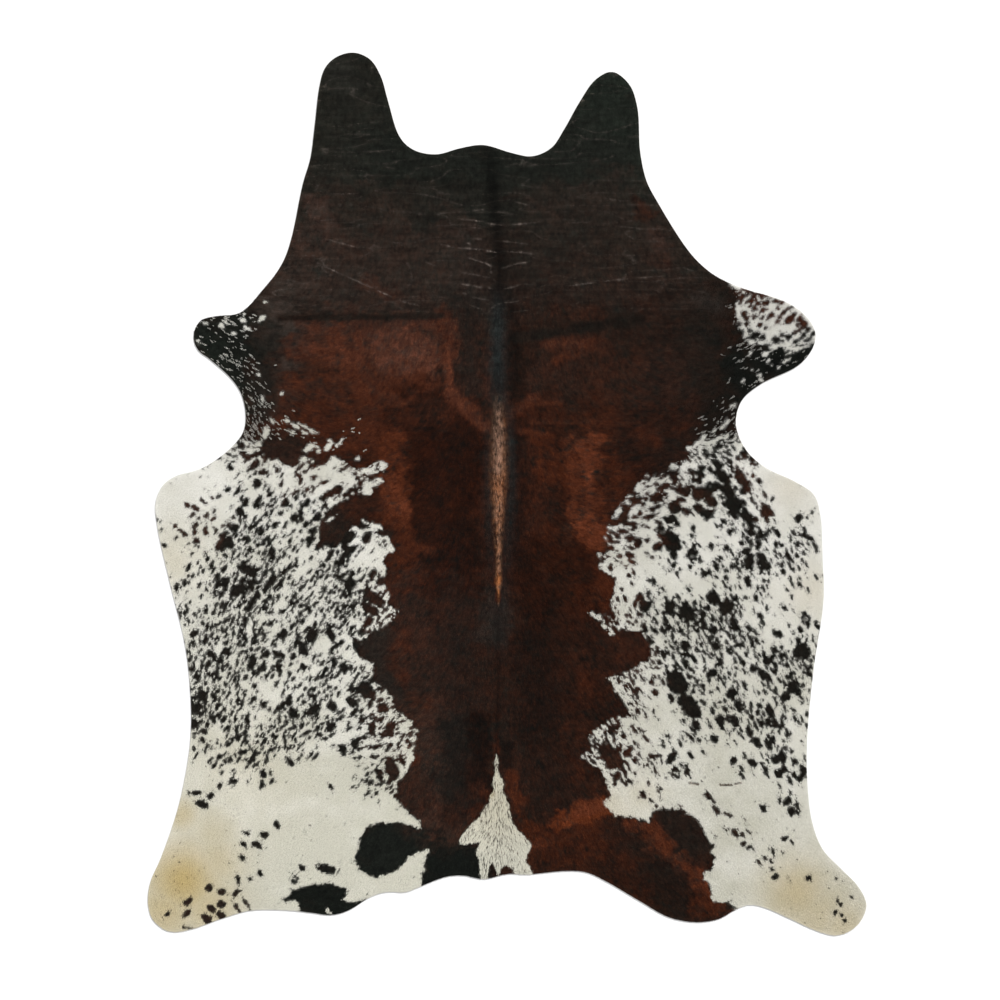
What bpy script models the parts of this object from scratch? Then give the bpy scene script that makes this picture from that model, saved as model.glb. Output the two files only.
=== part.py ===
"""A cowhide rug: one tanned hide with its hair on, lying flat on the floor.

Metres, +Z up. The underside lies on z = 0, +Y points to the neck and +X to the right
foreleg. The origin is on the floor, in the middle of the box round the outline.
"""
import bpy
import bmesh
import numpy as np
from mathutils import Vector
from mathutils.geometry import delaunay_2d_cdt

MM = 0.001

# Driving sizes, all in millimetres
LENGTH = 2205.0         # from the tip of the left ear flap to the tip of the right hind leg
WIDTH = 1795.0          # across the tips of the hind legs
CUT_EDGE = 2.2          # height of the trimmed rim, the bare thickness of the skin
RIM_STEP = 19.0         # between two points of the rim
PLAN_STEP = 52.0        # between two points of the plain coat
FLOOR_STEP = 130.0      # between two points of the underside
LINE_STEP = 19.0        # between two points along a wrinkle or crease
SPINE_WIDTH = 26.0      # foot to foot of the ridge where the hair parts
SPINE_HEIGHT = 0.6
CURVE_PARTS = 24        # steps of the smooth curve between two landmarks
MERGE = 1.0             # points of the plan closer than this become one
CLEARANCE = 0.6         # share of their own step that lattice points keep from other points
BELLY_FALL = 1.5        # how late the skin thins out towards the flanks
RUN_OUT = 0.5           # how soon a ridge gains its height from its end
ROUND_ANGLE = 0.6       # radians: flatter edges than this are shaded smooth

# The coat falls over the rim: (distance in from the edge, share of the full thickness gained)
RIM_PROFILE = ((0.0, 0.0), (3.0, 0.55), (9.0, 1.0))

# The outline, anticlockwise from above, from the crest of the neck: (across, along) at each landmark
OUTLINE = {
    "nape": ((-60, 872), (-118, 864)),
    "left ear flap": ((-175, 849), (-222, 855), (-252, 872), (-273, 900), (-299, 985), (-316, 1043),
                      (-343, 1086), (-385, 1103), (-429, 1091), (-456, 1064), (-469, 1021)),
    "left of the neck": ((-482, 915), (-492, 840), (-511, 775), (-538, 645), (-556, 590),
                         (-579, 550), (-613, 508), (-648, 468)),
    "left foreleg": ((-675, 450), (-730, 444), (-768, 432), (-784, 395), (-773, 360), (-745, 338),
                     (-690, 288), (-665, 250)),
    "left armpit": ((-654, 198), (-660, 155), (-688, 118), (-742, 76), (-783, 57)),
    "left flank": ((-828, 45), (-862, 20), (-879, -22), (-875, -78), (-843, -222), (-805, -378),
                   (-791, -515), (-792, -615), (-810, -730)),
    "left hind leg": ((-828, -802), (-866, -910), (-892, -970), (-898, -1022), (-885, -1065),
                      (-845, -1093), (-792, -1088)),
    "left buttock": ((-713, -1061), (-642, -1041), (-555, -1040), (-492, -1046), (-442, -1052),
                     (-400, -1042), (-338, -1005), (-298, -994), (-255, -995), (-218, -981)),
    "tail": ((-155, -957), (-112, -953), (-58, -962), (2, -949), (45, -951), (145, -942), (196, -945)),
    "right buttock": ((245, -967), (332, -1018), (402, -1057), (470, -1070), (528, -1062), (570, -1039),
                      (602, -1027), (638, -1032)),
    "right hind leg": ((708, -1062), (770, -1090), (822, -1103), (872, -1080), (897, -1030),
                       (878, -983), (832, -935), (788, -888)),
    "right flank": ((762, -822), (750, -728), (749, -615), (765, -440), (790, -265), (788, -165),
                    (782, -52), (766, -2)),
    "right armpit": ((720, 30), (645, 66), (595, 112), (571, 175), (585, 232), (632, 274)),
    "right foreleg": ((725, 320), (760, 359), (770, 400), (748, 442), (695, 480), (582, 516)),
    "right of the neck": ((520, 545), (475, 582), (440, 625), (375, 730), (348, 782), (332, 855)),
    "right ear flap": ((325, 965), (305, 1023), (262, 1055), (220, 1035), (182, 982), (140, 908),
                       (110, 865), (62, 844), (12, 852)),
}

# Thickness of skin and lying hair together: (along, on the spine, at the flanks)
THICKNESS = (
    (1100, 3.9, 3.9),
    (700, 5.2, 4.6),
    (300, 5.0, 3.8),
    (-200, 4.7, 3.4),
    (-700, 4.8, 3.6),
    (-1100, 4.0, 3.8),
)

# The parting along the back: (across, along)
SPINE = ((-50, 845), (-38, 540), (-30, 400), (-20, 230), (-20, -225), (-22, -520), (-26, -660))

# Neck wrinkles, raised: (from across, from along, to across, to along, bow, height)
WRINKLES = (
    (-448, 865, -280, 868, 5, 0.8),
    (-405, 830, -255, 843, 0, 0.7),
    (-452, 752, -362, 762, 2, 0.7),
    (-492, 662, -330, 628, -2, 0.8),
    (-492, 590, -218, 472, 0, 1.0),
    (-105, 715, 12, 712, -3, 0.8),
    (-130, 695, 182, 683, -9, 1.0),
    (-85, 643, 58, 635, -3, 0.8),
    (-180, 630, 145, 622, -18, 1.2),
    (-102, 599, -40, 575, -2, 1.3),
    (-18, 572, 132, 608, -4, 1.0),
    (-180, 578, -42, 545, -5, 0.9),
    (-112, 530, -48, 520, -2, 1.2),
    (-18, 520, 408, 555, -6, 1.1),
    (-112, 508, -42, 492, -2, 1.1),
    (-10, 488, 132, 505, -4, 0.9),
    (-98, 484, -42, 468, -2, 0.8),
    (-5, 460, 182, 478, -4, 0.8),
    (152, 742, 332, 732, -3, 0.7),
    (32, 772, 158, 715, -7, 0.7),
)
WRINKLE_WIDTH = 13.0

# Creases where the hide was folded, sunk: (from across, from along, to across, to along, bow, depth)
CREASES = (
    (-540, 440, 456, 433, 6, 0.6),
    (-40, 183, 530, 183, 2, 0.5),
    (232, -722, 630, -724, -2, 0.7),
    (-308, 405, -306, -560, 4, 0.5),
)
CREASE_WIDTH = 22.0

COAT_COLOUR = (0.09, 0.023, 0.009, 1.0)
COAT_ROUGHNESS = 0.72


def catmull_rom(before, start, end, after, parts):
    """Points of the centripetal curve from start to end, without end itself."""
    knots = [0.0]
    for a, b in ((before, start), (start, end), (end, after)):
        knots.append(knots[-1] + max(np.linalg.norm(b - a), 1e-6) ** 0.5)
    t = np.linspace(knots[1], knots[2], parts, endpoint=False)[:, None]

    def blend(a, b, t0, t1):
        return (t1 - t) / (t1 - t0) * a + (t - t0) / (t1 - t0) * b

    first = blend(before, start, knots[0], knots[1])
    second = blend(start, end, knots[1], knots[2])
    third = blend(end, after, knots[2], knots[3])
    low = blend(first, second, knots[0], knots[2])
    high = blend(second, third, knots[1], knots[3])
    return blend(low, high, knots[1], knots[2])


def evenly(points, step, closed):
    """The same line again, as points one even step apart."""
    line = np.vstack([points, points[:1]]) if closed else points
    reach = np.concatenate([[0.0], np.cumsum(np.linalg.norm(np.diff(line, axis=0), axis=1))])
    count = max(2, round(reach[-1] / step))
    marks = np.linspace(0.0, reach[-1], count + 1)
    if closed:
        marks = marks[:-1]
    return np.column_stack([np.interp(marks, reach, line[:, axis]) for axis in (0, 1)])


def outline_loop():
    """The smooth rim of the hide, centred on the origin and fitted to LENGTH and WIDTH."""
    marks = np.array([mark for stretch in OUTLINE.values() for mark in stretch], dtype=float)
    count = len(marks)
    parts = [
        catmull_rom(marks[i - 1], marks[i], marks[(i + 1) % count], marks[(i + 2) % count], CURVE_PARTS)
        for i in range(count)
    ]
    loop = evenly(np.vstack(parts), RIM_STEP, closed=True)
    low = loop.min(axis=0)
    high = loop.max(axis=0)
    return (loop - (low + high) / 2) * (np.array([WIDTH, LENGTH]) / (high - low))


def inset(loop, distance):
    """The loop moved inwards; the outline runs anticlockwise seen from above."""
    along = np.roll(loop, -1, axis=0) - np.roll(loop, 1, axis=0)
    along /= np.linalg.norm(along, axis=1)[:, None]
    return loop + distance * np.column_stack([-along[:, 1], along[:, 0]])


def bowed_line(row):
    """Points from one end of a wrinkle or crease to the other, on a parabola bowed in its middle."""
    start = np.array(row[0:2], dtype=float)
    end = np.array(row[2:4], dtype=float)
    bow = row[4]
    length = np.linalg.norm(end - start)
    share = np.linspace(0.0, 1.0, max(4, round(length / LINE_STEP)))[:, None]
    side = np.array([start[1] - end[1], end[0] - start[0]]) / length
    parabola = 4 * share * (1 - share)
    return start + share * (end - start) + side * bow * parabola


def rails(line, half_width):
    """The two feet of a ridge, on either side of its line, without its ends."""
    along = np.gradient(line, axis=0)
    along /= np.linalg.norm(along, axis=1)[:, None]
    side = np.column_stack([-along[:, 1], along[:, 0]]) * half_width
    return line[1:-1] + side[1:-1], line[1:-1] - side[1:-1]


def distance_to_line(points, line):
    """How far each point is from a line of points, and the share along it that is nearest."""
    best = np.full(len(points), np.inf)
    share = np.zeros(len(points))
    for i, (a, b) in enumerate(zip(line[:-1], line[1:])):
        run = b - a
        at = np.clip((points - a) @ run / (run @ run), 0.0, 1.0)
        gap = np.linalg.norm(points - (a + at[:, None] * run), axis=1)
        near = gap < best
        best[near] = gap[near]
        share[near] = (i + at[near]) / (len(line) - 1)
    return best, share


def ridge(points, line, half_width, height):
    """A soft ridge along a line, highest at its middle and running out at both ends."""
    gap, share = distance_to_line(points, line)
    across = np.clip(1.0 - gap / half_width, 0.0, 1.0)
    return height * across * np.sin(np.pi * share) ** RUN_OUT


def folds():
    """Each raised or sunk line: its points, half its width and its height."""
    wrinkles = [(bowed_line(row), WRINKLE_WIDTH / 2, row[5]) for row in WRINKLES]
    creases = [(bowed_line(row), CREASE_WIDTH / 2, -row[5]) for row in CREASES]
    spine = evenly(np.array(SPINE, dtype=float), PLAN_STEP, closed=False)
    return wrinkles + creases + [(spine, SPINE_WIDTH / 2, SPINE_HEIGHT)]


def full_thickness(points):
    """Skin and lying hair, thicker along the spine and the neck than at the flanks."""
    table = np.array(THICKNESS[::-1])
    on_spine = np.interp(points[:, 1], table[:, 0], table[:, 1])
    at_flank = np.interp(points[:, 1], table[:, 0], table[:, 2])
    share = np.clip(np.abs(points[:, 0]) / (WIDTH / 2), 0.0, 1.0)
    return on_spine + (at_flank - on_spine) * share ** BELLY_FALL


def coat_height(points, rim_share):
    """Height of the coat at each point, from the cut edge up to the full thickness."""
    height = CUT_EDGE + (full_thickness(points) - CUT_EDGE) * rim_share
    for line, half_width, rise in folds():
        height += ridge(points, line, half_width, rise) * rim_share
    return height


def inside(points, loop):
    """Which points lie within a closed loop."""
    x = points[:, 0][:, None]
    y = points[:, 1][:, None]
    ax, ay = loop[:, 0], loop[:, 1]
    bx, by = np.roll(ax, -1), np.roll(ay, -1)
    spans = (ay > y) != (by > y)
    rise = np.where(by == ay, 1.0, by - ay)
    crossing = ax + (y - ay) * (bx - ax) / rise
    return (spans & (x < crossing)).sum(axis=1) % 2 == 1


def filling(loop, step, keep_off):
    """Points in a lattice of equal triangles inside the loop, clear of the points to keep off."""
    row_step = step * np.sin(np.pi / 3)
    rows = np.arange(-LENGTH / 2, LENGTH / 2 + row_step, row_step)
    columns = np.arange(-WIDTH / 2 - step, WIDTH / 2 + step, step)
    lattice = np.array([(x + step / 2 * (i % 2), y) for i, y in enumerate(rows) for x in columns])
    lattice = lattice[inside(lattice, loop)]
    gaps = np.linalg.norm(lattice[:, None, :] - keep_off[None, :, :], axis=2).min(axis=1)
    return lattice[gaps > step * CLEARANCE]


def chain(first, count, closed):
    """Index pairs that join a run of points."""
    pairs = [(first + i, first + i + 1) for i in range(count - 1)]
    if closed:
        pairs.append((first + count - 1, first))
    return pairs


def triangulated(loops, lines, loose):
    """A triangle mesh inside the first loop that keeps every loop and line as edges."""
    points = []
    edges = []
    for run, closed in [(loop, True) for loop in loops] + [(line, False) for line in lines]:
        edges += chain(len(points), len(run), closed)
        points += [Vector(point) for point in run]
    points += [Vector(point) for point in loose]
    border = [list(range(len(loops[0])))]
    inside_border = 1
    found = delaunay_2d_cdt(points, edges, border, inside_border, MERGE)
    return np.array([point[:] for point in found[0]]), found[2]


def coat_sheet(rim):
    """The hair side: triangles that follow the rim, the wrinkles and the creases."""
    loops = [inset(rim, distance) for distance, _ in RIM_PROFILE]
    inner = loops[-1]
    lines = []
    for line, half_width, _ in folds():
        for run in (line, *rails(line, half_width)):
            kept = run[inside(run, inset(inner, LINE_STEP / 2))]
            if len(kept) > 1:
                lines.append(kept)
    taken = np.vstack(loops + lines)
    plan, faces = triangulated(loops, lines, filling(inner, PLAN_STEP, taken))
    gap, _ = distance_to_line(plan, np.vstack([rim, rim[:1]]))
    profile = np.array(RIM_PROFILE)
    height = coat_height(plan, np.interp(gap, profile[:, 0], profile[:, 1]))
    return np.column_stack([plan, height]), faces


def flesh_sheet(rim):
    """The flat underside, with the same rim points as the hair side."""
    plan, faces = triangulated([rim], [], filling(rim, FLOOR_STEP, rim))
    return np.column_stack([plan, np.zeros(len(plan))]), faces


def add_sheet(mesh, points, faces):
    """Adds triangles to a mesh and gives back the edges round their border."""
    corners = [mesh.verts.new(Vector(point) * MM) for point in points]
    made = [mesh.faces.new([corners[i] for i in face]) for face in faces]
    return [edge for face in made for edge in face.edges if edge.is_boundary]


def hide_mesh():
    """One closed solid: hair side and underside, joined by the trimmed edge."""
    rim = outline_loop()
    mesh = bmesh.new()
    top_border = add_sheet(mesh, *coat_sheet(rim))
    floor_border = add_sheet(mesh, *flesh_sheet(rim))
    bmesh.ops.bridge_loops(mesh, edges=list(set(top_border + floor_border)))
    bmesh.ops.recalc_face_normals(mesh, faces=mesh.faces)
    data = bpy.data.meshes.new("hide")
    mesh.to_mesh(data)
    mesh.free()
    return data


def coat_material():
    """Dark red-brown hair on skin."""
    material = bpy.data.materials.new("hair_on_hide")
    material.use_nodes = True
    shader = material.node_tree.nodes["Principled BSDF"]
    shader.inputs["Base Color"].default_value = COAT_COLOUR
    shader.inputs["Roughness"].default_value = COAT_ROUGHNESS
    shader.inputs["Metallic"].default_value = 0.0
    return material


def clear_scene():
    for thing in list(bpy.data.objects):
        bpy.data.objects.remove(thing, do_unlink=True)


def main():
    clear_scene()
    parts = bpy.data.collections.new("Cowhide rug")
    bpy.context.scene.collection.children.link(parts)
    hide = bpy.data.objects.new("hide", hide_mesh())
    hide.data.materials.append(coat_material())
    hide.data.shade_smooth()
    hide.data.set_sharp_from_angle(angle=ROUND_ANGLE)
    parts.objects.link(hide)


main()
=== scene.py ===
"""Looks of the cowhide rug: the skin as a thin sheet, and the coat of short hair lying on it.

Metres, +Z up, in the frame of the CAD model: +Y points to the neck and +X to the right foreleg.
The pattern of the coat is set out in short tables, in pixels of the photo, where one
pixel is PIXEL metres and MIDDLE is the middle of the rug.
seeded chance, as densely as the tables say. Shares and tones in the tables are in per cent.
"""
import math

import bmesh
import bpy
import numpy as np
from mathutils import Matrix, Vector
from mathutils.geometry import delaunay_2d_cdt


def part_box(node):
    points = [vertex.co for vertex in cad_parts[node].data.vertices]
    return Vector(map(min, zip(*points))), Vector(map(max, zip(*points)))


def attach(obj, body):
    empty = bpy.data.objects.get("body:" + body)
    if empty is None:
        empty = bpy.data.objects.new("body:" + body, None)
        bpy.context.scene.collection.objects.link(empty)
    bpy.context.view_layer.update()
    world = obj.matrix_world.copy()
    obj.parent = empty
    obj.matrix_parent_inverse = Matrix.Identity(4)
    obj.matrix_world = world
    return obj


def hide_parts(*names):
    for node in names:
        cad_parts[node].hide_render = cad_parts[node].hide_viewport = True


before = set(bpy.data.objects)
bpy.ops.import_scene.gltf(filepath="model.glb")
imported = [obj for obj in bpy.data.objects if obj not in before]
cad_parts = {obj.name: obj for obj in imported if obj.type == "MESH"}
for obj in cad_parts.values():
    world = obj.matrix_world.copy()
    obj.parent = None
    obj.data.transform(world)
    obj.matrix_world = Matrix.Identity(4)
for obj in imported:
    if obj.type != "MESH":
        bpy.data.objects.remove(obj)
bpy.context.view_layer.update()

MM = 0.001
PIXEL = 0.0025                  # metres for one pixel of the photo
MIDDLE = (507.0, 494.0)         # the photo's pixel over the middle of the rug

# ---------------------------------------------------------------- sizes, in millimetres
HAIR_DEPTH = 2.4                # from the skin up to the top of the lying hair
HAIR_WIDTH = 1.5
WEDGE_HAIR_LENGTH = 20.0        # longer hair of the white wedge at the tail
SHORTEST_HAIR = 3.0             # of hair cut back at the rim
OVERHANG = 1.5                  # how far hair may reach past the rim
ROOT_SUNK = 0.1                 # into the skin
TIP_LIFT = (-0.15, 0.25)        # mean and deviation of the tips' height over the top of the coat
LOWEST_TIP = 0.6                # over the floor
LOWEST_ROOT = 0.2
LOOK_SPREAD = 0.35              # how far from its own middle a hair may take its colour
SKIN_STEP = 7.0                 # between the points of the skin's upper side
UNDERSIDE_STEP = 60.0
CUT_EDGE = 2.2                  # thickness of the skin at the trimmed rim
RIM_RISE = ((0.0, 0.0), (3.0, 0.55), (9.0, 1.0))    # (inwards from the rim, share of the thickness)

COAT_HAIRS = 780000
WIDTH_RANGE = (0.8, 1.25)       # least and most of HAIR_WIDTH
LENGTH_RANGE = (0.75, 1.2)      # least and most of the length that is charted
HEADING_SPREAD = 0.16           # radians by which single hairs stray from the flow
ROLL_SPREAD = 0.3               # radians by which they lean over

# Thickness of skin and hair together: (along, on the spine, at the flanks)
THICKNESS = (
    (1100, 3.9, 3.9),
    (700, 5.2, 4.6),
    (300, 5.0, 3.8),
    (-200, 4.7, 3.4),
    (-700, 4.8, 3.6),
    (-1100, 4.0, 3.8),
)
BELLY_FALL = 1.5                # over 1: the thickness falls more steeply towards the flanks

# The parting along the back: (across, along)
SPINE = ((-50, 845), (-38, 540), (-30, 400), (-20, 230), (-20, -225), (-22, -520), (-26, -660))
SPINE_WIDTH = 26.0
SPINE_HEIGHT = 0.6
SPINE_X = -22.0                 # across: no tone is warped sideways near this line

# Neck wrinkles, raised: (from across, from along, to across, to along, bow, height)
WRINKLES = (
    (-460, 855, -238, 865, -5, 0.5), (-455, 748, -358, 752, 0, 0.6), (-312, 820, -275, 810, 0, 0.6),
    (-245, 762, -122, 778, -2, 0.4), (-480, 682, -428, 685, 0, 0.7), (-465, 640, -362, 612, 0, 0.8),
    (-485, 582, -405, 545, 0, 0.8), (-405, 545, -325, 510, 0, 0.9), (-330, 512, -285, 490, 0, 1),
    (-288, 488, -210, 468, 0, 0.7), (-228, 590, -170, 565, 0, 0.5), (-298, 630, -250, 625, 0, 0.5),
    (-92, 708, -52, 710, 0, 0.7), (-35, 705, 10, 702, 0, 0.7), (-130, 688, -52, 680, 0, 0.9),
    (-58, 678, 2, 672, -2, 1.2), (0, 672, 82, 678, 0, 0.9), (-102, 668, -58, 662, 0, 0.6),
    (-92, 638, -55, 635, 0, 0.9), (-42, 632, 65, 622, 2, 0.7), (-105, 628, -90, 625, 0, 1.1),
    (-172, 625, -128, 615, 0, 0.8), (-130, 615, -50, 610, 0, 1.1), (-55, 608, -18, 602, 0, 1.5),
    (-12, 605, 75, 598, 2, 1), (-102, 592, -50, 575, 0, 1.2), (-58, 578, -30, 565, 0, 1.5),
    (-18, 562, 10, 570, 0, 1.1), (-2, 570, 65, 582, 0, 0.9), (-122, 555, -32, 538, 0, 0.8),
    (-118, 525, -88, 520, 0, 1.3), (-90, 520, -58, 515, 0, 1.3), (-48, 515, -35, 512, 0, 1.4),
    (-10, 512, 38, 525, -2, 1.1), (32, 525, 78, 522, 0, 0.7), (-112, 502, -98, 498, 0, 1.1),
    (-92, 492, -35, 482, 0, 0.9), (-12, 478, 38, 485, -2, 1.1), (12, 732, 65, 718, 0, 0.6),
    (-42, 572, -40, 548, 0, 0.9), (-98, 473, -48, 456, 0, 0.6), (5, 452, 70, 462, 0, 0.6),
    (235, 742, 308, 730, -2, 0.6), (265, 670, 348, 662, 0, 0.6), (342, 662, 400, 662, 0, 0.6),
    (350, 632, 392, 630, 0, 0.6), (140, 518, 232, 530, 0, 0.8), (230, 530, 312, 538, 0, 0.9),
    (308, 538, 402, 545, 0, 0.6), (132, 675, 222, 680, 0, 0.5), (270, 698, 348, 700, 0, 0.4),
)
WRINKLE_WIDTH = 10.0
PUCKER_HEIGHT = 0.25            # of the many fine wrinkles between them
PUCKER_CREST_HIGHLIGHT = 0.42             # painted highlight: how pale their crests are, from 0 to 1
SKIN_CREST_HIGHLIGHT = 0.4                # share of that painted highlight on the skin below the hair
FOLD_END = 0.35                 # how softly a wrinkle or crease ends: blunter towards 0

# Creases where the hide was folded, sunk: (from across, from along, to across, to along, bow, depth)
CREASES = (
    (-540, 440, 456, 433, 6, 0.6),
    (-40, 183, 530, 183, 2, 0.5),
    (232, -722, 630, -724, -2, 0.7),
    (-308, 405, -306, -560, 4, 0.5),
)
CREASE_WIDTH = 22.0
LINE_STEP = 8.0                 # between the points of a wrinkle or crease
RIM_PARTS = 3                   # sides of the skin's rim for each one of the CAD model's rim

# ---------------------------------------------------------------- the coat's pattern, in photo pixels
# Border of the dark back, from the left armpit down to the rump and up to the right armpit,
# then round the outside of the neck
DARK_BACK = (
    (150, 437), (232, 437), (250, 444), (262, 440), (262, 454), (270, 461), (290, 459), (304, 458),
    (320, 461), (335, 457), (345, 464), (357, 469), (370, 469), (380, 461), (388, 463), (384, 472),
    (377, 477), (384, 482), (374, 488), (371, 496), (356, 493), (340, 502), (326, 512), (321, 524),
    (318, 536), (323, 546), (336, 548), (343, 540), (351, 530), (363, 521), (378, 525), (388, 534),
    (391, 545), (395, 551), (386, 553), (382, 562), (387, 568), (383, 584), (390, 595), (387, 605),
    (397, 611), (394, 622), (383, 627), (367, 634), (358, 648), (362, 660), (374, 664), (371, 678),
    (383, 688), (392, 697), (395, 710), (407, 717), (419, 731), (414, 742), (413, 758), (404, 776),
    (397, 785), (395, 798), (402, 808), (411, 816), (420, 820), (422, 829), (408, 824), (395, 822),
    (380, 822), (368, 827), (360, 837), (358, 850), (352, 861), (361, 870), (375, 877), (393, 872),
    (405, 862), (415, 852), (433, 848), (426, 857), (424, 873), (418, 900), (430, 960), (760, 960),
    (735, 908), (722, 902), (712, 900), (709, 886), (703, 873), (712, 870), (714, 858), (708, 838),
    (698, 821), (684, 810), (666, 808), (652, 811), (648, 822), (630, 817), (614, 816), (603, 803),
    (611, 796), (607, 783), (602, 770), (582, 757), (592, 747), (588, 735), (604, 724), (620, 716),
    (632, 718), (626, 704), (617, 692), (606, 678), (620, 676), (633, 668), (650, 660), (652, 645),
    (640, 632), (622, 628), (610, 636), (596, 618), (590, 613), (604, 616), (616, 621), (611, 602),
    (614, 590), (615, 578), (600, 568), (598, 553), (617, 549), (604, 538), (608, 526), (612, 515),
    (620, 504), (630, 494), (640, 483), (646, 475), (666, 473), (671, 464), (691, 460), (687, 449),
    (700, 441), (735, 434), (840, 432), (840, 338), (814, 343), (800, 344), (785, 348), (772, 350),
    (760, 345), (750, 344), (742, 338), (738, 326), (735, 308), (737, 290), (722, 276), (900, 250),
    (900, 20), (100, 20),
)

# The white wedge at the root of the tail, in the dark of the rump
TAIL_WEDGE = (
    (496.5, 755), (498.5, 760), (497.7, 769), (500.4, 777), (503.8, 784), (502.2, 791), (505.5, 797),
    (509, 805), (510, 814), (512.5, 823), (519, 832), (526, 838), (530, 842), (531, 847), (528, 853),
    (526, 860), (530, 868), (538, 885), (517, 885), (513.5, 869), (506, 865), (501, 868), (498, 880),
    (496, 868), (492.5, 862), (489, 866), (487.5, 885), (482, 885), (479.5, 870), (479, 860), (476, 854),
    (478, 848), (480.8, 842.5), (475, 842.5), (464, 845), (458, 841.5), (465, 832), (472, 823),
    (479.5, 817), (485, 807), (489.5, 802), (490, 795), (493.5, 790), (493, 780), (495, 770), (495, 761),
)

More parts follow.
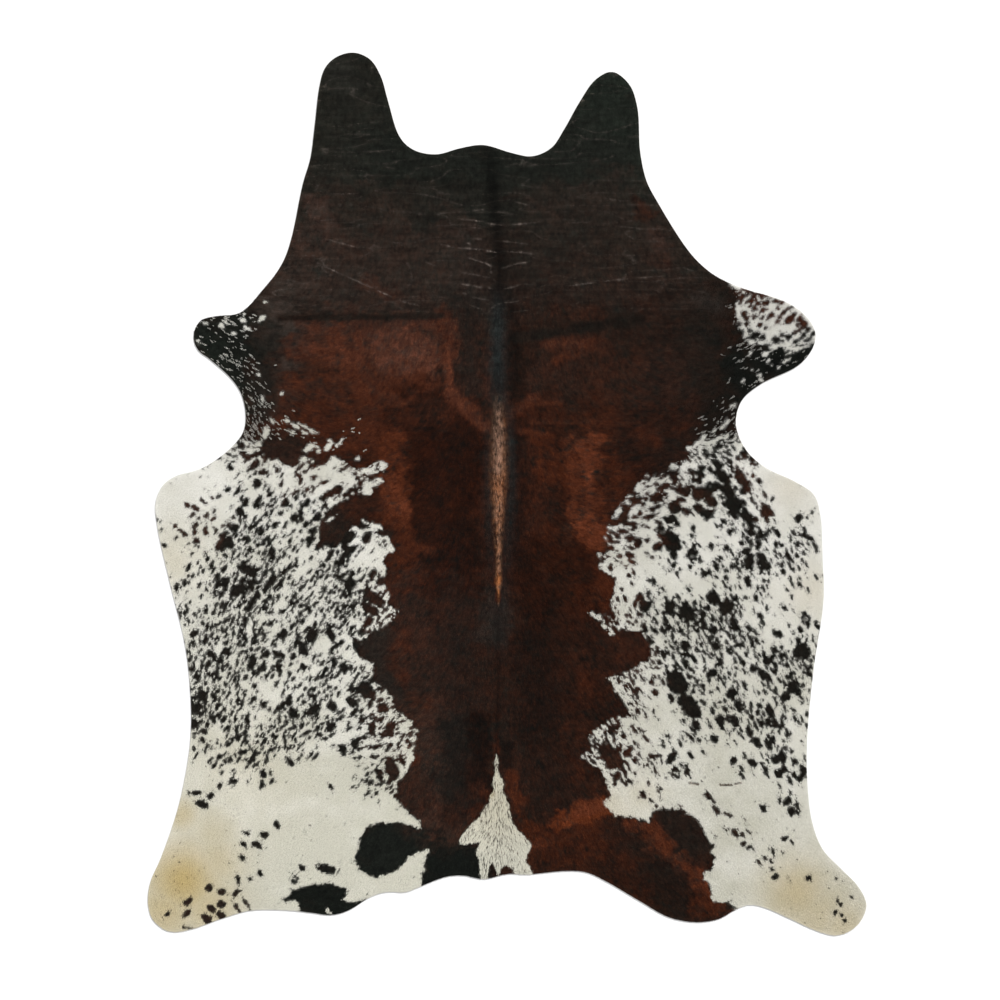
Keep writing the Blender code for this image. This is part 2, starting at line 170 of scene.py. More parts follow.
# Larger spots and blots: (column, row, length along the hair, width, tilt). The tilt, in degrees
# from the hair's own direction, is left out where it is 0.
BLOTS = (
    # left flank
    (283, 449, 22, 46, 28), (334, 533, 32, 26), (222, 545, 16, 11, -20), (350, 583, 12, 13),
    (374, 598, 12, 26), (370, 609, 9, 22), (248, 571, 10, 24), (238, 590, 19, 11, -30),
    (270, 583, 22, 8, -10), (283, 634, 13, 9), (312, 636, 15, 12), (304, 651, 9, 12), (317, 517, 12, 7),
    (313, 531, 11, 7), (319, 546, 12, 7), (331, 554, 11, 6), (331, 634, 8, 20, -30), (357, 646, 9, 18, -40),
    (344, 668, 11, 9), (278, 655, 7, 15), (227, 652, 8, 12), (211, 654, 8, 10), (252, 663, 18, 8),
    (202, 697, 9, 12, 30), (196, 708, 16, 9, -20), (194, 724, 12, 9), (366, 690, 14, 22),
    (382, 708, 10, 12), (352, 702, 10, 12), (332, 706, 10, 11), (315, 709, 15, 8, -25), (293, 714, 11, 8),
    (372, 729, 8, 14, -50), (390, 729, 9, 16, -40), (226, 583, 14, 6), (234, 528, 10, 8), (341, 561, 10, 8),
    (392, 768, 12, 26, -20), (402, 761, 6, 10), (379, 774, 7, 14, -20), (355, 744, 8, 12, -20),
    (331, 727, 12, 8),
    # lower left
    (343, 749, 8, 7), (196, 793, 15, 5, -65), (210, 796, 10, 6, -20), (202, 804, 8, 12), (220, 786, 7, 4),
    (277, 825, 6, 9, -30), (265, 835, 9, 7, -60), (247, 833, 4, 7), (257, 845, 6, 11, 20),
    (244, 844, 4, 8, -20), (243, 858, 4, 8, -20), (260, 873, 4, 8, -20), (238, 879, 4, 9, -30),
    (250, 879, 4, 4), (302, 868, 6, 8), (327, 869, 9, 22, 30), (296, 877, 3, 7), (293, 881, 3, 6),
    (330, 786, 4, 8, -30), (264, 775, 7, 6), (235, 782, 7, 5), (290, 762, 5, 11, -30), (262, 783, 9, 4),
    (188, 902, 11, 7, -30), (187, 913, 12, 6, -30), (167, 914, 8, 4, -40), (209, 888, 8, 7),
    (222, 892, 9, 7, -30), (221, 904, 9, 8, -20), (236, 893, 9, 5), (212, 909, 7, 10), (247, 904, 3, 15),
    (207, 919, 8, 12), (221, 915, 8, 10), (240, 912, 4, 20), (188, 928, 3, 10),
    # the left front corner of the flank
    (187, 505, 6, 7), (196, 508, 5, 8), (203, 501, 3, 7), (212, 498, 3, 6), (175, 526, 5, 5),
    (181, 531, 4, 6), (185, 535, 5, 6), (177, 537, 5, 3), (197, 540, 6, 5), (206, 533, 5, 6),
    (162, 529, 3, 3), (164, 545, 3, 5), (184, 583, 9, 5), (177, 586, 7, 5), (208, 559, 6, 5),
    (212, 565, 10, 5),
    # right flank, below the armpit
    (636, 500, 15, 8), (656, 498, 15, 10), (665, 486, 12, 6), (682, 491, 17, 9), (699, 494, 14, 16),
    (682, 500, 11, 6), (675, 507, 14, 14), (686, 511, 11, 7), (698, 508, 10, 8), (705, 514, 18, 10),
    (709, 490, 12, 9), (652, 516, 14, 5, 20), (656, 507, 20, 4, 10), (640, 513, 6, 5), (624, 517, 12, 7),
    (631, 525, 8, 4), (659, 523, 9, 4), (661, 529, 11, 7), (670, 520, 9, 11), (677, 524, 7, 7),
    (671, 541, 24, 18), (661, 536, 9, 7), (658, 547, 10, 11), (678, 547, 9, 8), (674, 555, 9, 9),
    (693, 552, 10, 9), (693, 528, 6, 6), (700, 561, 6, 5), (673, 565, 6, 6), (677, 573, 5, 5),
    (690, 567, 5, 4), (716, 566, 12, 6), (706, 574, 5, 5), (622, 532, 6, 6), (631, 538, 12, 8),
    (638, 543, 9, 10), (631, 548, 9, 5), (630, 555, 10, 7), (647, 540, 5, 6), (632, 562, 10, 5),
    (646, 553, 4, 3), (673, 478, 8, 14, 30), (767, 510, 19, 9), (799, 518, 8, 11, 40), (812, 512, 4, 5),
    (772, 499, 4, 6, 30), (747, 551, 8, 11), (749, 561, 18, 11, -28), (763, 562, 20, 8), (778, 534, 8, 5),
    (807, 537, 15, 6, 35), (815, 547, 12, 5), (748, 582, 14, 7),
    # right flank, middle
    (713, 598, 16, 14), (727, 607, 14, 17), (687, 613, 18, 15), (670, 608, 16, 11), (645, 606, 13, 12),
    (640, 597, 8, 10), (678, 597, 8, 5), (760, 616, 7, 7), (756, 598, 7, 5), (804, 652, 18, 13),
    (796, 653, 13, 7), (816, 623, 6, 5), (779, 634, 9, 6), (768, 660, 8, 12), (753, 668, 10, 8),
    (712, 673, 9, 10), (715, 646, 10, 9), (704, 624, 12, 7), (735, 625, 18, 8), (685, 646, 11, 9),
    (677, 683, 28, 20), (671, 698, 10, 6), (689, 706, 32, 17, 10), (732, 692, 10, 10), (738, 706, 14, 8),
    (786, 697, 9, 10), (792, 689, 9, 12), (770, 712, 15, 8), (774, 722, 13, 7), (735, 721, 14, 9),
    (720, 722, 16, 6), (750, 732, 12, 7), (765, 676, 12, 10),
    # right flank, lower
    (611, 756, 18, 33, -80), (617, 776, 8, 13, 30), (612, 730, 8, 10), (696, 725, 14, 8), (714, 739, 9, 7),
    (757, 742, 14, 7), (768, 745, 14, 6), (782, 757, 12, 9), (776, 760, 8, 10), (764, 768, 13, 5),
    (779, 774, 8, 8), (784, 770, 9, 5), (803, 770, 12, 8), (800, 778, 7, 7), (672, 757, 8, 14, 20),
    (733, 761, 6, 9, 20), (741, 769, 9, 4), (687, 772, 6, 7), (643, 795, 9, 7, -10), (628, 752, 7, 13, 20),
    (675, 769, 5, 7), (708, 796, 9, 6), (717, 810, 10, 6), (787, 801, 8, 10, 20), (792, 811, 10, 9),
    (798, 807, 9, 4), (763, 808, 9, 7), (735, 833, 11, 5), (742, 834, 6, 4), (743, 844, 5, 6),
    (750, 847, 4, 6), (785, 838, 4, 7), (792, 843, 6, 3), (771, 861, 6, 3), (775, 876, 6, 7),
    (772, 870, 5, 4), (808, 878, 5, 6), (836, 879, 4, 3), (838, 900, 5, 3), (841, 904, 5, 4),
    (835, 912, 4, 4), (842, 915, 4, 3), (845, 920, 5, 3), (851, 897, 3, 2), (711, 847, 6, 8),
    # right foreleg
    (742, 297, 8, 5), (754, 295, 7, 6), (762, 297, 6, 6), (766, 303, 8, 6), (758, 304, 6, 5),
    (751, 301, 6, 5), (775, 301, 6, 5), (782, 303, 5, 4), (778, 308, 5, 4), (788, 309, 5, 4),
    (754, 309, 7, 6), (763, 310, 6, 5), (744, 314, 8, 6), (746, 319, 6, 5), (754, 317, 6, 5),
    (762, 318, 6, 5), (770, 316, 9, 6), (777, 321, 6, 5), (784, 312, 5, 4), (790, 320, 11, 7),
    (795, 314, 6, 4), (800, 319, 8, 6), (804, 325, 9, 8), (798, 325, 5, 4), (747, 324, 7, 5),
    (760, 325, 6, 5), (766, 328, 5, 4), (739, 324, 7, 5), (740, 332, 7, 6), (750, 331, 5, 4),
    (754, 336, 11, 8), (762, 338, 8, 6), (776, 340, 9, 7), (782, 335, 5, 4), (788, 337, 8, 6),
    (795, 333, 6, 4), (800, 330, 6, 4), (808, 330, 7, 5), (813, 334, 7, 5), (803, 337, 7, 4),
    (796, 341, 8, 4), (808, 340, 10, 4), (765, 347, 9, 6), (748, 291, 14, 5, -55), (762, 295, 14, 4, -55),
    (779, 302, 12, 4, -60),
    # left armpit and the net round the hook below it
    (320, 462, 24, 8), (257, 484, 10, 8), (238, 490, 11, 4), (325, 482, 9, 4), (325, 497, 16, 7),
    (336, 491, 18, 9), (346, 495, 10, 5), (356, 491, 5, 13, -20), (360, 485, 6, 12, -20), (355, 474, 6, 4),
    (363, 475, 6, 4), (373, 477, 13, 7), (258, 502, 14, 6), (285, 503, 10, 8), (294, 518, 10, 8),
    (240, 511, 10, 8), (325, 521, 12, 8), (349, 537, 16, 10), (363, 526, 12, 7, -40), (367, 537, 14, 9),
    (381, 533, 14, 7, -60), (349, 552, 22, 8, -18), (345, 545, 14, 6), (306, 524, 8, 5), (308, 539, 9, 5),
    (324, 506, 10, 5),
    # right armpit
    (744, 455, 10, 8), (752, 461, 12, 6), (722, 476, 22, 12), (753, 476, 6, 4), (728, 492, 22, 11),
    (742, 479, 22, 11), (745, 482, 14, 8), (749, 490, 10, 5), (733, 507, 22, 11), (738, 503, 12, 7),
    (734, 514, 13, 8), (753, 502, 8, 4), (746, 517, 16, 10), (756, 520, 8, 7), (752, 531, 12, 8),
    (761, 535, 10, 7), (759, 544, 10, 6),
)

# Border of the black patch that reaches the rim at the lower left
BLACK_PATCH = (
    (282, 900), (289, 896), (291, 890), (304, 887), (316, 884), (330, 883), (340, 887), (347, 888),
    (346, 896), (340, 900), (352, 902), (372, 898), (366, 930), (300, 930), (300, 908), (296, 900),
    (286, 902),
)

# White marks in the dark coat, as BLOTS
WHITE_MARKS = (
    (287, 421, 9, 4), (294, 425, 14, 4), (303, 426, 14, 3), (311, 430, 14, 4), (293, 433, 10, 3),
    (306, 434, 12, 3), (312, 446, 12, 4), (328, 447, 12, 5, 20), (339, 443, 11, 3, 30),
    (308, 449, 9, 5, 20), (320, 451, 9, 3), (330, 440, 4, 4), (266, 433, 14, 7, -50), (273, 422, 7, 3),
    (262, 318, 8, 5, 60), (266, 302, 6, 3, 40), (204, 323, 9, 3), (199, 341, 8, 4), (221, 326, 7, 6),
    (226, 322, 6, 3), (233, 333, 5, 4), (246, 328, 7, 4), (243, 320, 6, 4), (245, 313, 6, 3, 60),
    (358, 458, 6, 3), (258, 374, 6, 3), (281, 394, 5, 3, 60), (263, 401, 9, 3, -20), (328, 911, 4, 12),
    (331, 519, 12, 3, -20), (688, 448, 8, 3, 30), (698, 443, 8, 4, 30), (704, 437, 10, 3, 30),
    (694, 451, 8, 3), (714, 431, 12, 2), (724, 426, 12, 3), (733, 405, 6, 3), (728, 418, 8, 2),
    (797, 348, 22, 4, -17), (790, 353, 10, 3, -10), (765, 354, 7, 6), (769, 360, 6, 3), (787, 360, 12, 3),
    (772, 366, 5, 3), (778, 368, 7, 2), (748, 356, 10, 2, 20), (759, 375, 7, 3), (761, 380, 5, 3, -40),
    (743, 381, 5, 3), (750, 369, 5, 2), (748, 389, 3, 2),
)

# How much of the white coat is dark specks: (column, row, per cent)
SPECKLED = (
    # left flank
    (180, 478, 0), (205, 490, 3), (222, 478, 5), (180, 515, 5), (195, 530, 12), (170, 560, 3),
    (232, 488, 15), (248, 445, 50), (250, 465, 50), (270, 478, 30), (285, 470, 35), (303, 470, 35),
    (330, 473, 8), (350, 474, 25), (268, 490, 25), (300, 490, 25), (340, 484, 15), (230, 512, 30),
    (258, 508, 50), (300, 505, 50), (280, 526, 15), (205, 550, 10), (240, 540, 60), (262, 540, 50),
    (290, 560, 35), (330, 512, 30), (310, 555, 30), (340, 560, 45), (365, 545, 20), (372, 560, 10),
    (185, 590, 20), (235, 575, 65), (262, 580, 60), (300, 575, 25), (330, 570, 50), (365, 580, 50),
    (205, 600, 25), (230, 605, 50), (265, 615, 35), (300, 600, 50), (330, 605, 50), (360, 605, 60),
    (385, 605, 50), (190, 640, 35), (215, 640, 50), (250, 640, 50), (290, 640, 60), (320, 625, 50),
    (345, 635, 50), (350, 655, 15), (205, 668, 50), (235, 662, 60), (265, 665, 55), (300, 665, 35),
    (312, 668, 10), (335, 665, 50), (362, 675, 40), (195, 705, 75), (225, 695, 50), (250, 690, 35),
    (275, 690, 12), (300, 690, 45), (330, 690, 40), (365, 690, 60), (382, 705, 50), (205, 735, 30),
    (232, 720, 50), (252, 722, 8), (270, 725, 40), (290, 715, 50), (315, 725, 45), (340, 715, 45),
    (365, 715, 40), (390, 725, 45), (405, 735, 30), (212, 755, 35), (235, 755, 45), (255, 750, 40),
    (278, 755, 35), (300, 745, 30), (335, 742, 15), (350, 735, 10), (370, 745, 45), (395, 750, 50),
    (200, 765, 5), (230, 775, 8), (262, 783, 14), (245, 800, 0), (280, 800, 0), (290, 780, 0),
    (300, 775, 0), (335, 770, 0), (365, 765, 30), (385, 780, 30), (408, 765, 10), (200, 785, 4),
    (215, 820, 0), (250, 820, 0), (320, 785, 2), (350, 810, 0), (390, 810, 2), (180, 850, 0), (270, 855, 1),
    (320, 840, 1), (300, 870, 0), (340, 885, 0), (230, 890, 0), (185, 905, 0), (400, 880, 1),
    # right flank
    (715, 440, 40), (735, 440, 35), (700, 462, 55), (730, 465, 60), (760, 475, 10), (790, 490, 0),
    (775, 485, 0), (680, 475, 60), (655, 487, 55), (700, 480, 60), (725, 490, 65), (755, 490, 20),
    (650, 505, 55), (615, 515, 55), (645, 525, 15), (660, 505, 0), (690, 503, 0), (715, 480, 50),
    (735, 515, 55), (780, 512, 5), (612, 535, 65), (648, 535, 20), (665, 525, 20), (705, 530, 12),
    (730, 530, 30), (755, 530, 60), (785, 528, 20), (812, 525, 6), (610, 555, 35), (640, 555, 5),
    (640, 570, 8), (620, 575, 12), (665, 580, 3), (705, 550, 20), (685, 562, 12), (725, 555, 40),
    (755, 555, 50), (785, 555, 50), (812, 565, 5), (795, 572, 30), (640, 590, 12), (700, 580, 15),
    (735, 580, 35), (760, 585, 50), (785, 585, 15), (680, 590, 10), (620, 605, 45), (650, 605, 55),
    (690, 615, 55), (720, 612, 55), (752, 605, 20), (775, 600, 8), (790, 620, 20), (812, 600, 2),
    (770, 630, 10), (745, 630, 35), (635, 625, 25), (665, 630, 45), (695, 635, 50), (725, 640, 50),
    (765, 650, 50), (790, 640, 30), (812, 640, 30), (665, 660, 45), (640, 668, 40), (700, 660, 40),
    (735, 665, 40), (770, 670, 55), (800, 675, 45), (625, 685, 40), (650, 690, 35), (700, 685, 40),
    (725, 690, 45), (752, 690, 12), (780, 690, 50), (805, 695, 30), (640, 705, 35), (655, 700, 8),
    (665, 715, 6), (710, 705, 10), (735, 708, 40), (765, 712, 50), (795, 715, 30), (625, 730, 45),
    (650, 730, 8), (675, 735, 15), (700, 735, 25), (722, 735, 12), (750, 728, 40), (780, 735, 35),
    (800, 735, 8), (625, 750, 45), (605, 740, 45), (645, 745, 30), (680, 755, 10), (710, 755, 3),
    (730, 752, 8), (760, 750, 40), (785, 755, 45), (802, 755, 10), (620, 770, 45), (650, 772, 38),
    (680, 772, 28), (710, 772, 2), (765, 770, 20), (790, 772, 20), (640, 790, 3), (680, 790, 0),
    (620, 800, 4), (710, 800, 12), (740, 790, 0), (765, 795, 4), (795, 800, 10), (670, 803, 12),
    (715, 820, 8), (740, 835, 12), (765, 830, 1), (790, 840, 5), (730, 860, 2), (772, 870, 10),
    (805, 878, 6), (750, 890, 0), (740, 905, 6), (830, 890, 1), (840, 915, 2), (860, 900, 0),
    # right foreleg
    (745, 300, 30), (765, 308, 20), (790, 312, 15), (780, 326, 3), (755, 326, 8), (790, 338, 10),
    (812, 335, 15),
)

# How much of the specks is large ones: (column, row, per cent)
LARGE_SPECKS = (
    (260, 480, 60), (300, 510, 65), (240, 550, 50), (250, 590, 40), (300, 640, 30), (350, 590, 30),
    (330, 630, 20), (210, 660, 30), (200, 710, 40), (300, 560, 0), (240, 620, 10), (300, 600, 10),
    (300, 690, 10), (250, 740, 10), (370, 690, 30), (385, 740, 20), (180, 560, 0), (640, 500, 80),
    (700, 480, 80), (740, 500, 70), (620, 540, 60), (700, 560, 20), (750, 550, 40), (790, 560, 10),
    (720, 605, 30), (650, 640, 10), (700, 650, 10), (740, 640, 0), (680, 690, 20), (730, 700, 20),
    (770, 700, 35), (800, 650, 30), (620, 740, 10), (770, 750, 35), (700, 770, 0), (240, 700, 10),
    (740, 445, 30), (260, 445, 30), (770, 320, 10),
)

# How much of the dark coat is white flecks: (column, row, per cent)
FROSTED = (
    (205, 325, 8), (200, 345, 5), (225, 330, 15), (245, 322, 20), (262, 316, 6), (215, 350, 10),
    (235, 350, 14), (258, 345, 0), (228, 368, 16), (245, 372, 16), (262, 375, 6), (240, 390, 20),
    (258, 395, 20), (278, 395, 3), (248, 412, 30), (265, 408, 15), (285, 410, 3), (250, 430, 45),
    (270, 428, 20), (300, 430, 10), (280, 450, 0), (268, 446, 0), (292, 452, 0), (290, 390, 0),
    (300, 375, 0), (310, 350, 0), (270, 350, 0), (272, 320, 0), (320, 420, 0), (350, 380, 0), (350, 445, 5),
    (300, 300, 0), (250, 300, 3), (400, 430, 0), (500, 500, 0), (745, 352, 12), (765, 362, 12),
    (790, 366, 5), (755, 372, 12), (775, 376, 6), (735, 362, 6), (715, 375, 0), (745, 388, 6),
    (732, 400, 8), (712, 410, 4), (728, 422, 20), (710, 430, 15), (685, 430, 0), (730, 438, 30),
    (700, 400, 0), (725, 330, 2), (710, 350, 0), (735, 300, 10), (722, 288, 3), (705, 300, 0),
    (712, 272, 0), (690, 256, 0), (270, 285, 0), (305, 400, 0), (680, 380, 0), (660, 440, 0), (600, 400, 0),
    (450, 300, 0), (450, 700, 0), (560, 700, 0), (350, 100, 0), (600, 100, 0), (400, 180, 0), (600, 180, 0),
    (330, 220, 0), (670, 240, 0), (300, 270, 0), (500, 200, 0), (400, 560, 0), (600, 560, 0), (400, 640, 0),
    (420, 860, 0), (600, 860, 0), (690, 860, 0), (330, 500, 0), (640, 500, 0), (500, 380, 0), (560, 300, 0),
    (650, 320, 0), (350, 320, 0),
)

# Tones brushed over the dark coat, one over the other: (from column, from row, to column, to row,
# width, rust, bloom, light), the last three in per cent. Rust runs from black 0 to red-brown 100,
# bloom greys it, and light is how bright it all is. Its swings, such as the dark columns beside
# the spine and the bright red-brown zones, are partly painted sheen where the hair lies another
# way, and partly the hair's own tone.
DARK_STROKES = (
    # the ground that later strokes cover
    (300, 385, 680, 385, 170, 45, 10, 90), (400, 510, 600, 510, 200, 60, 6, 60),
    (400, 660, 620, 660, 170, 40, 12, 70), (430, 780, 580, 780, 150, 35, 10, 75),
    (540, 855, 700, 880, 100, 55, 5, 70), (270, 300, 700, 300, 70, 15, 20, 100),
    # neck and its two flaps
    (350, 60, 350, 190, 110, 2, 8, 175), (610, 80, 610, 190, 110, 0, 0, 240),
    (400, 170, 590, 170, 90, 0, 6, 165), (340, 70, 345, 75, 30, 0, 20, 175),
    (330, 225, 430, 225, 80, 10, 16, 140), (440, 225, 540, 225, 80, 2, 10, 150),
    (560, 225, 660, 225, 80, 10, 20, 140), (300, 270, 460, 270, 90, 16, 26, 135),
    (520, 265, 680, 265, 90, 10, 16, 135), (316, 206, 324, 218, 20, 30, 40, 150),
    (300, 240, 345, 246, 24, 22, 30, 135), (365, 285, 402, 296, 14, 35, 30, 120),
    (640, 205, 646, 214, 16, 35, 15, 100), (655, 235, 662, 246, 20, 30, 40, 115),
    (655, 262, 668, 266, 20, 25, 25, 110), (470, 240, 475, 300, 30, 14, 32, 120),
    (520, 300, 700, 300, 60, 16, 20, 110),
    # shoulders
    (280, 320, 285, 390, 60, 14, 45, 156), (270, 340, 262, 400, 34, 6, 24, 115),
    (320, 345, 430, 345, 56, 72, 28, 120), (310, 390, 430, 385, 70, 72, 14, 105),
    (330, 350, 350, 352, 40, 92, 20, 125), (390, 350, 440, 360, 40, 90, 32, 150),
    (300, 425, 380, 430, 50, 85, 10, 90), (444, 320, 452, 375, 26, 75, 20, 90),
    (468, 320, 470, 390, 26, 20, 20, 85), (540, 330, 700, 335, 60, 22, 10, 90),
    (560, 345, 600, 350, 26, 55, 12, 100), (540, 385, 680, 385, 60, 30, 16, 95),
    (600, 370, 610, 400, 50, 38, 12, 95), (700, 320, 715, 400, 46, 14, 10, 100),
    (520, 340, 522, 400, 24, 20, 5, 70), (270, 445, 300, 450, 30, 25, 15, 90),
    (235, 330, 230, 400, 50, 0, 6, 130), (205, 335, 215, 345, 26, 0, 0, 190),
    (720, 420, 700, 460, 40, 12, 10, 85), (735, 365, 745, 390, 44, 0, 8, 95),
    (765, 362, 805, 348, 40, 0, 2, 95),
    # back, down to the end of the pale stripe
    (430, 420, 440, 590, 70, 64, 2, 37), (400, 420, 470, 405, 24, 70, 10, 60),
    (462, 440, 466, 590, 40, 57, 3, 35), (395, 440, 400, 540, 24, 100, 5, 110),
    (388, 480, 402, 510, 20, 100, 8, 150), (400, 540, 412, 600, 30, 80, 4, 70),
    (540, 420, 550, 580, 60, 56, 8, 68), (590, 430, 660, 430, 50, 50, 6, 85),
    (585, 450, 588, 545, 36, 102, 8, 195), (620, 470, 610, 510, 30, 75, 5, 95),
    (540, 445, 560, 470, 34, 80, 6, 85), (660, 450, 680, 450, 30, 25, 8, 85),
    (570, 560, 590, 620, 46, 60, 3, 60), (530, 560, 540, 640, 40, 50, 4, 45),
    (606, 575, 606, 600, 20, 80, 5, 80), (330, 520, 345, 535, 40, 20, 10, 90),
    (350, 505, 375, 510, 22, 50, 8, 80),
    # loins
    (410, 610, 420, 700, 60, 36, 16, 85), (455, 610, 460, 700, 50, 32, 16, 65),
    (375, 635, 385, 690, 34, 12, 20, 95), (400, 640, 402, 680, 18, 60, 12, 85),
    (535, 650, 545, 740, 60, 34, 8, 46), (580, 640, 585, 720, 50, 42, 6, 62),
    (610, 650, 640, 648, 34, 45, 10, 80), (494, 606, 496, 632, 30, 20, 32, 85),
    (610, 690, 612, 700, 34, 40, 5, 70),
    # rump, left and right of the tail
    (430, 730, 430, 830, 60, 32, 18, 112), (455, 730, 455, 790, 40, 10, 14, 64),
    (480, 720, 480, 780, 24, 30, 3, 36), (452, 812, 478, 802, 26, 40, 10, 62),
    (415, 790, 420, 800, 30, 35, 12, 80), (497, 735, 497, 752, 7, 80, 8, 85),
    (545, 760, 550, 795, 50, 30, 10, 66), (580, 730, 595, 780, 36, 50, 8, 75),
    (509, 772, 528, 835, 14, 90, 5, 80), (545, 842, 592, 815, 30, 115, 0, 110),
    (562, 826, 598, 806, 22, 140, 0, 160), (550, 862, 650, 880, 60, 50, 8, 64),
    (535, 850, 620, 842, 30, 70, 4, 72), (620, 835, 640, 850, 34, 30, 10, 75),
    (670, 825, 695, 850, 56, 14, 12, 85), (640, 822, 712, 895, 22, 90, 9, 118),
    (665, 885, 680, 900, 36, 20, 10, 68), (700, 905, 730, 908, 22, 85, 6, 90),
    # black blots of the left rump
    (380, 850, 385, 850, 80, 0, 2, 100), (440, 866, 470, 866, 44, 0, 0, 75),
    (320, 900, 350, 905, 60, 0, 0, 95),
)

# Lines and small patches of tone, brushed over those, some of them painted sheen: the same columns
SHEEN_AND_LINE_STROKES = (
    # painted sheen: the bright arcs and fans round the whorls behind the shoulders, on both sides of the
    # spine
    (280, 318, 440, 316, 7, 15, 12, 92), (447, 345, 449, 392, 8, 100, 18, 130),
    (452, 394, 470, 412, 14, 95, 20, 120), (468, 410, 484, 426, 12, 85, 18, 105),
    (456, 322, 449, 345, 6, 90, 20, 110), (512, 413, 534, 398, 12, 80, 20, 110),
    (520, 404, 560, 403, 5, 75, 15, 100), (530, 423, 640, 423, 4, 60, 10, 100),
    (518, 432, 548, 433, 5, 95, 12, 110), (642, 433, 656, 440, 14, 65, 10, 95),
    (544, 345, 580, 345, 9, 75, 20, 110), (557, 360, 575, 354, 12, 65, 12, 100),
    (515, 338, 640, 320, 11, 10, 10, 80), (548, 312, 600, 314, 12, 38, 12, 95),
    (572, 455, 580, 500, 14, 100, 8, 125), (600, 500, 572, 512, 10, 100, 10, 135),
    (398, 545, 432, 550, 9, 85, 6, 85), (412, 700, 426, 704, 14, 55, 10, 85),
    (404, 752, 416, 762, 14, 60, 10, 90), (484, 792, 490, 797, 9, 70, 6, 70),
    (472, 812, 480, 806, 9, 60, 6, 65), (580, 809, 602, 804, 15, 115, 8, 150),
    (532, 846, 552, 842, 12, 80, 6, 90), (507, 745, 507, 765, 12, 20, 4, 50),
    (580, 655, 590, 700, 16, 60, 6, 75), (700, 300, 716, 306, 18, 15, 50, 115),
    (498, 400, 498, 470, 12, 0, 10, 80), (498, 480, 498, 560, 8, 45, 5, 50),
    (498, 580, 498, 583, 7, 130, 0, 90), (498, 590, 498, 600, 5, 90, 0, 60),
)
DARK_BASE = (5, 5, 95)          # rust, bloom and light where no stroke reaches

# Tones of the dark specks of the flanks, browner near the dark back: the same columns
SPECK_STROKES = (
    (300, 470, 380, 480, 50, 35, 12, 105), (400, 560, 400, 720, 60, 30, 10, 100),
    (250, 450, 290, 460, 30, 25, 12, 100), (640, 480, 620, 560, 60, 45, 10, 105),
    (680, 480, 690, 500, 40, 30, 10, 100), (745, 470, 765, 515, 24, 35, 12, 105),
    (610, 620, 640, 700, 60, 35, 10, 100), (620, 730, 620, 780, 60, 35, 8, 100),
    (748, 300, 795, 322, 44, 60, 15, 120), (760, 360, 812, 344, 26, 0, 5, 95),
    (390, 740, 400, 770, 40, 25, 10, 100), (188, 900, 225, 910, 50, 15, 10, 110),
    (190, 505, 200, 530, 50, 30, 15, 120), (650, 790, 740, 840, 50, 20, 15, 110),
    (290, 895, 350, 905, 60, 0, 0, 90),
)

# Stripes along the back: (row, column of the middle, half width, strength in per cent)
TAN_STRIPE = (
    (392, 498, 3, 0), (405, 498, 4.5, 30), (425, 499, 5.5, 75), (455, 499, 6, 95), (480, 498.5, 6, 100),
    (510, 498.5, 4.5, 90), (540, 498.5, 3, 80), (565, 498.5, 2, 75), (577, 498.5, 2.4, 100),
    (584, 498.5, 2.6, 100), (592, 498.5, 1.2, 60), (608, 498.5, 0.8, 0),
)
# The slate stripes are painted sheen: blue-grey light that the hair reflects along the spine.
SLATE_SHEEN_STRIPES = (
    ((280, 497, 5, 0), (300, 498, 7, 50), (330, 498, 8, 80), (370, 498, 9, 90), (400, 499, 9, 60),
     (415, 499, 9, 0)),
    ((395, 508, 5, 0), (430, 510, 5, 70), (480, 512, 6, 75), (520, 510, 7, 60), (560, 507, 8, 35),
     (600, 502, 9, 25), (640, 499, 9, 15), (665, 499, 8, 0)),
    ((410, 489, 4, 0), (450, 487, 4, 45), (500, 488, 5, 50), (560, 491, 5, 30), (590, 493, 6, 0)),
)
DARK_STRIPES = (
    ((140, 488, 7, 50), (165, 491, 8, 90), (200, 494, 8, 95), (250, 499, 7, 90), (285, 500, 6, 70),
     (310, 499, 5, 30)),
    ((225, 496, 22, 0), (255, 498, 30, 40), (300, 500, 30, 35), (325, 500, 24, 0)),
    ((285, 509, 4, 0), (305, 512, 6, 60), (350, 513, 7, 65), (395, 513, 6, 50), (430, 518, 8, 50),
     (500, 521, 9, 55), (560, 516, 9, 40), (590, 512, 9, 0)),
    ((590, 498, 1.5, 0), (610, 498, 1.5, 50), (680, 498, 1.5, 50), (757, 497, 1.8, 70),
     (765, 497, 1.8, 0)),
)

# How creamy and how dim the white hair is: (column, row, per cent). The dimming is partly painted shade,
# set to even out how brightly the lamp lights the lying hair from flank to flank.
CREAM_AND_SHADE = (
    (165, 490, 25), (200, 480, 25), (180, 560, 55), (260, 520, 50), (240, 600, 60), (340, 560, 35),
    (250, 700, 65), (350, 700, 60), (300, 790, 90), (210, 800, 80), (200, 870, 90), (380, 800, 100),
    (340, 870, 110), (410, 880, 110), (240, 890, 110), (640, 560, 30), (770, 490, 10), (800, 520, 10),
    (810, 600, 30), (700, 620, 50), (780, 700, 65), (650, 720, 65), (700, 770, 70), (640, 805, 60),
    (750, 870, 75), (820, 900, 80), (780, 320, 0), (496, 770, 130), (490, 830, 150), (515, 850, 110),
    (330, 440, 50), (230, 370, 30),
)

# Yellowed places in the white hair: (column, row, radius, strength in per cent)
STAINS = (
    (183, 880, 38, 100), (215, 862, 30, 50), (165, 910, 36, 70), (205, 905, 36, 60), (182, 815, 18, 60),
    (212, 835, 28, 35), (797, 893, 34, 65), (815, 915, 40, 50), (785, 885, 26, 35), (842, 925, 30, 50),
    (612, 812, 26, 25), (170, 560, 30, 20), (812, 590, 26, 20), (491, 794, 6, 50), (494, 800, 45, 20),
    (790, 485, 22, 20), (240, 770, 60, 12), (640, 795, 22, 20),
)

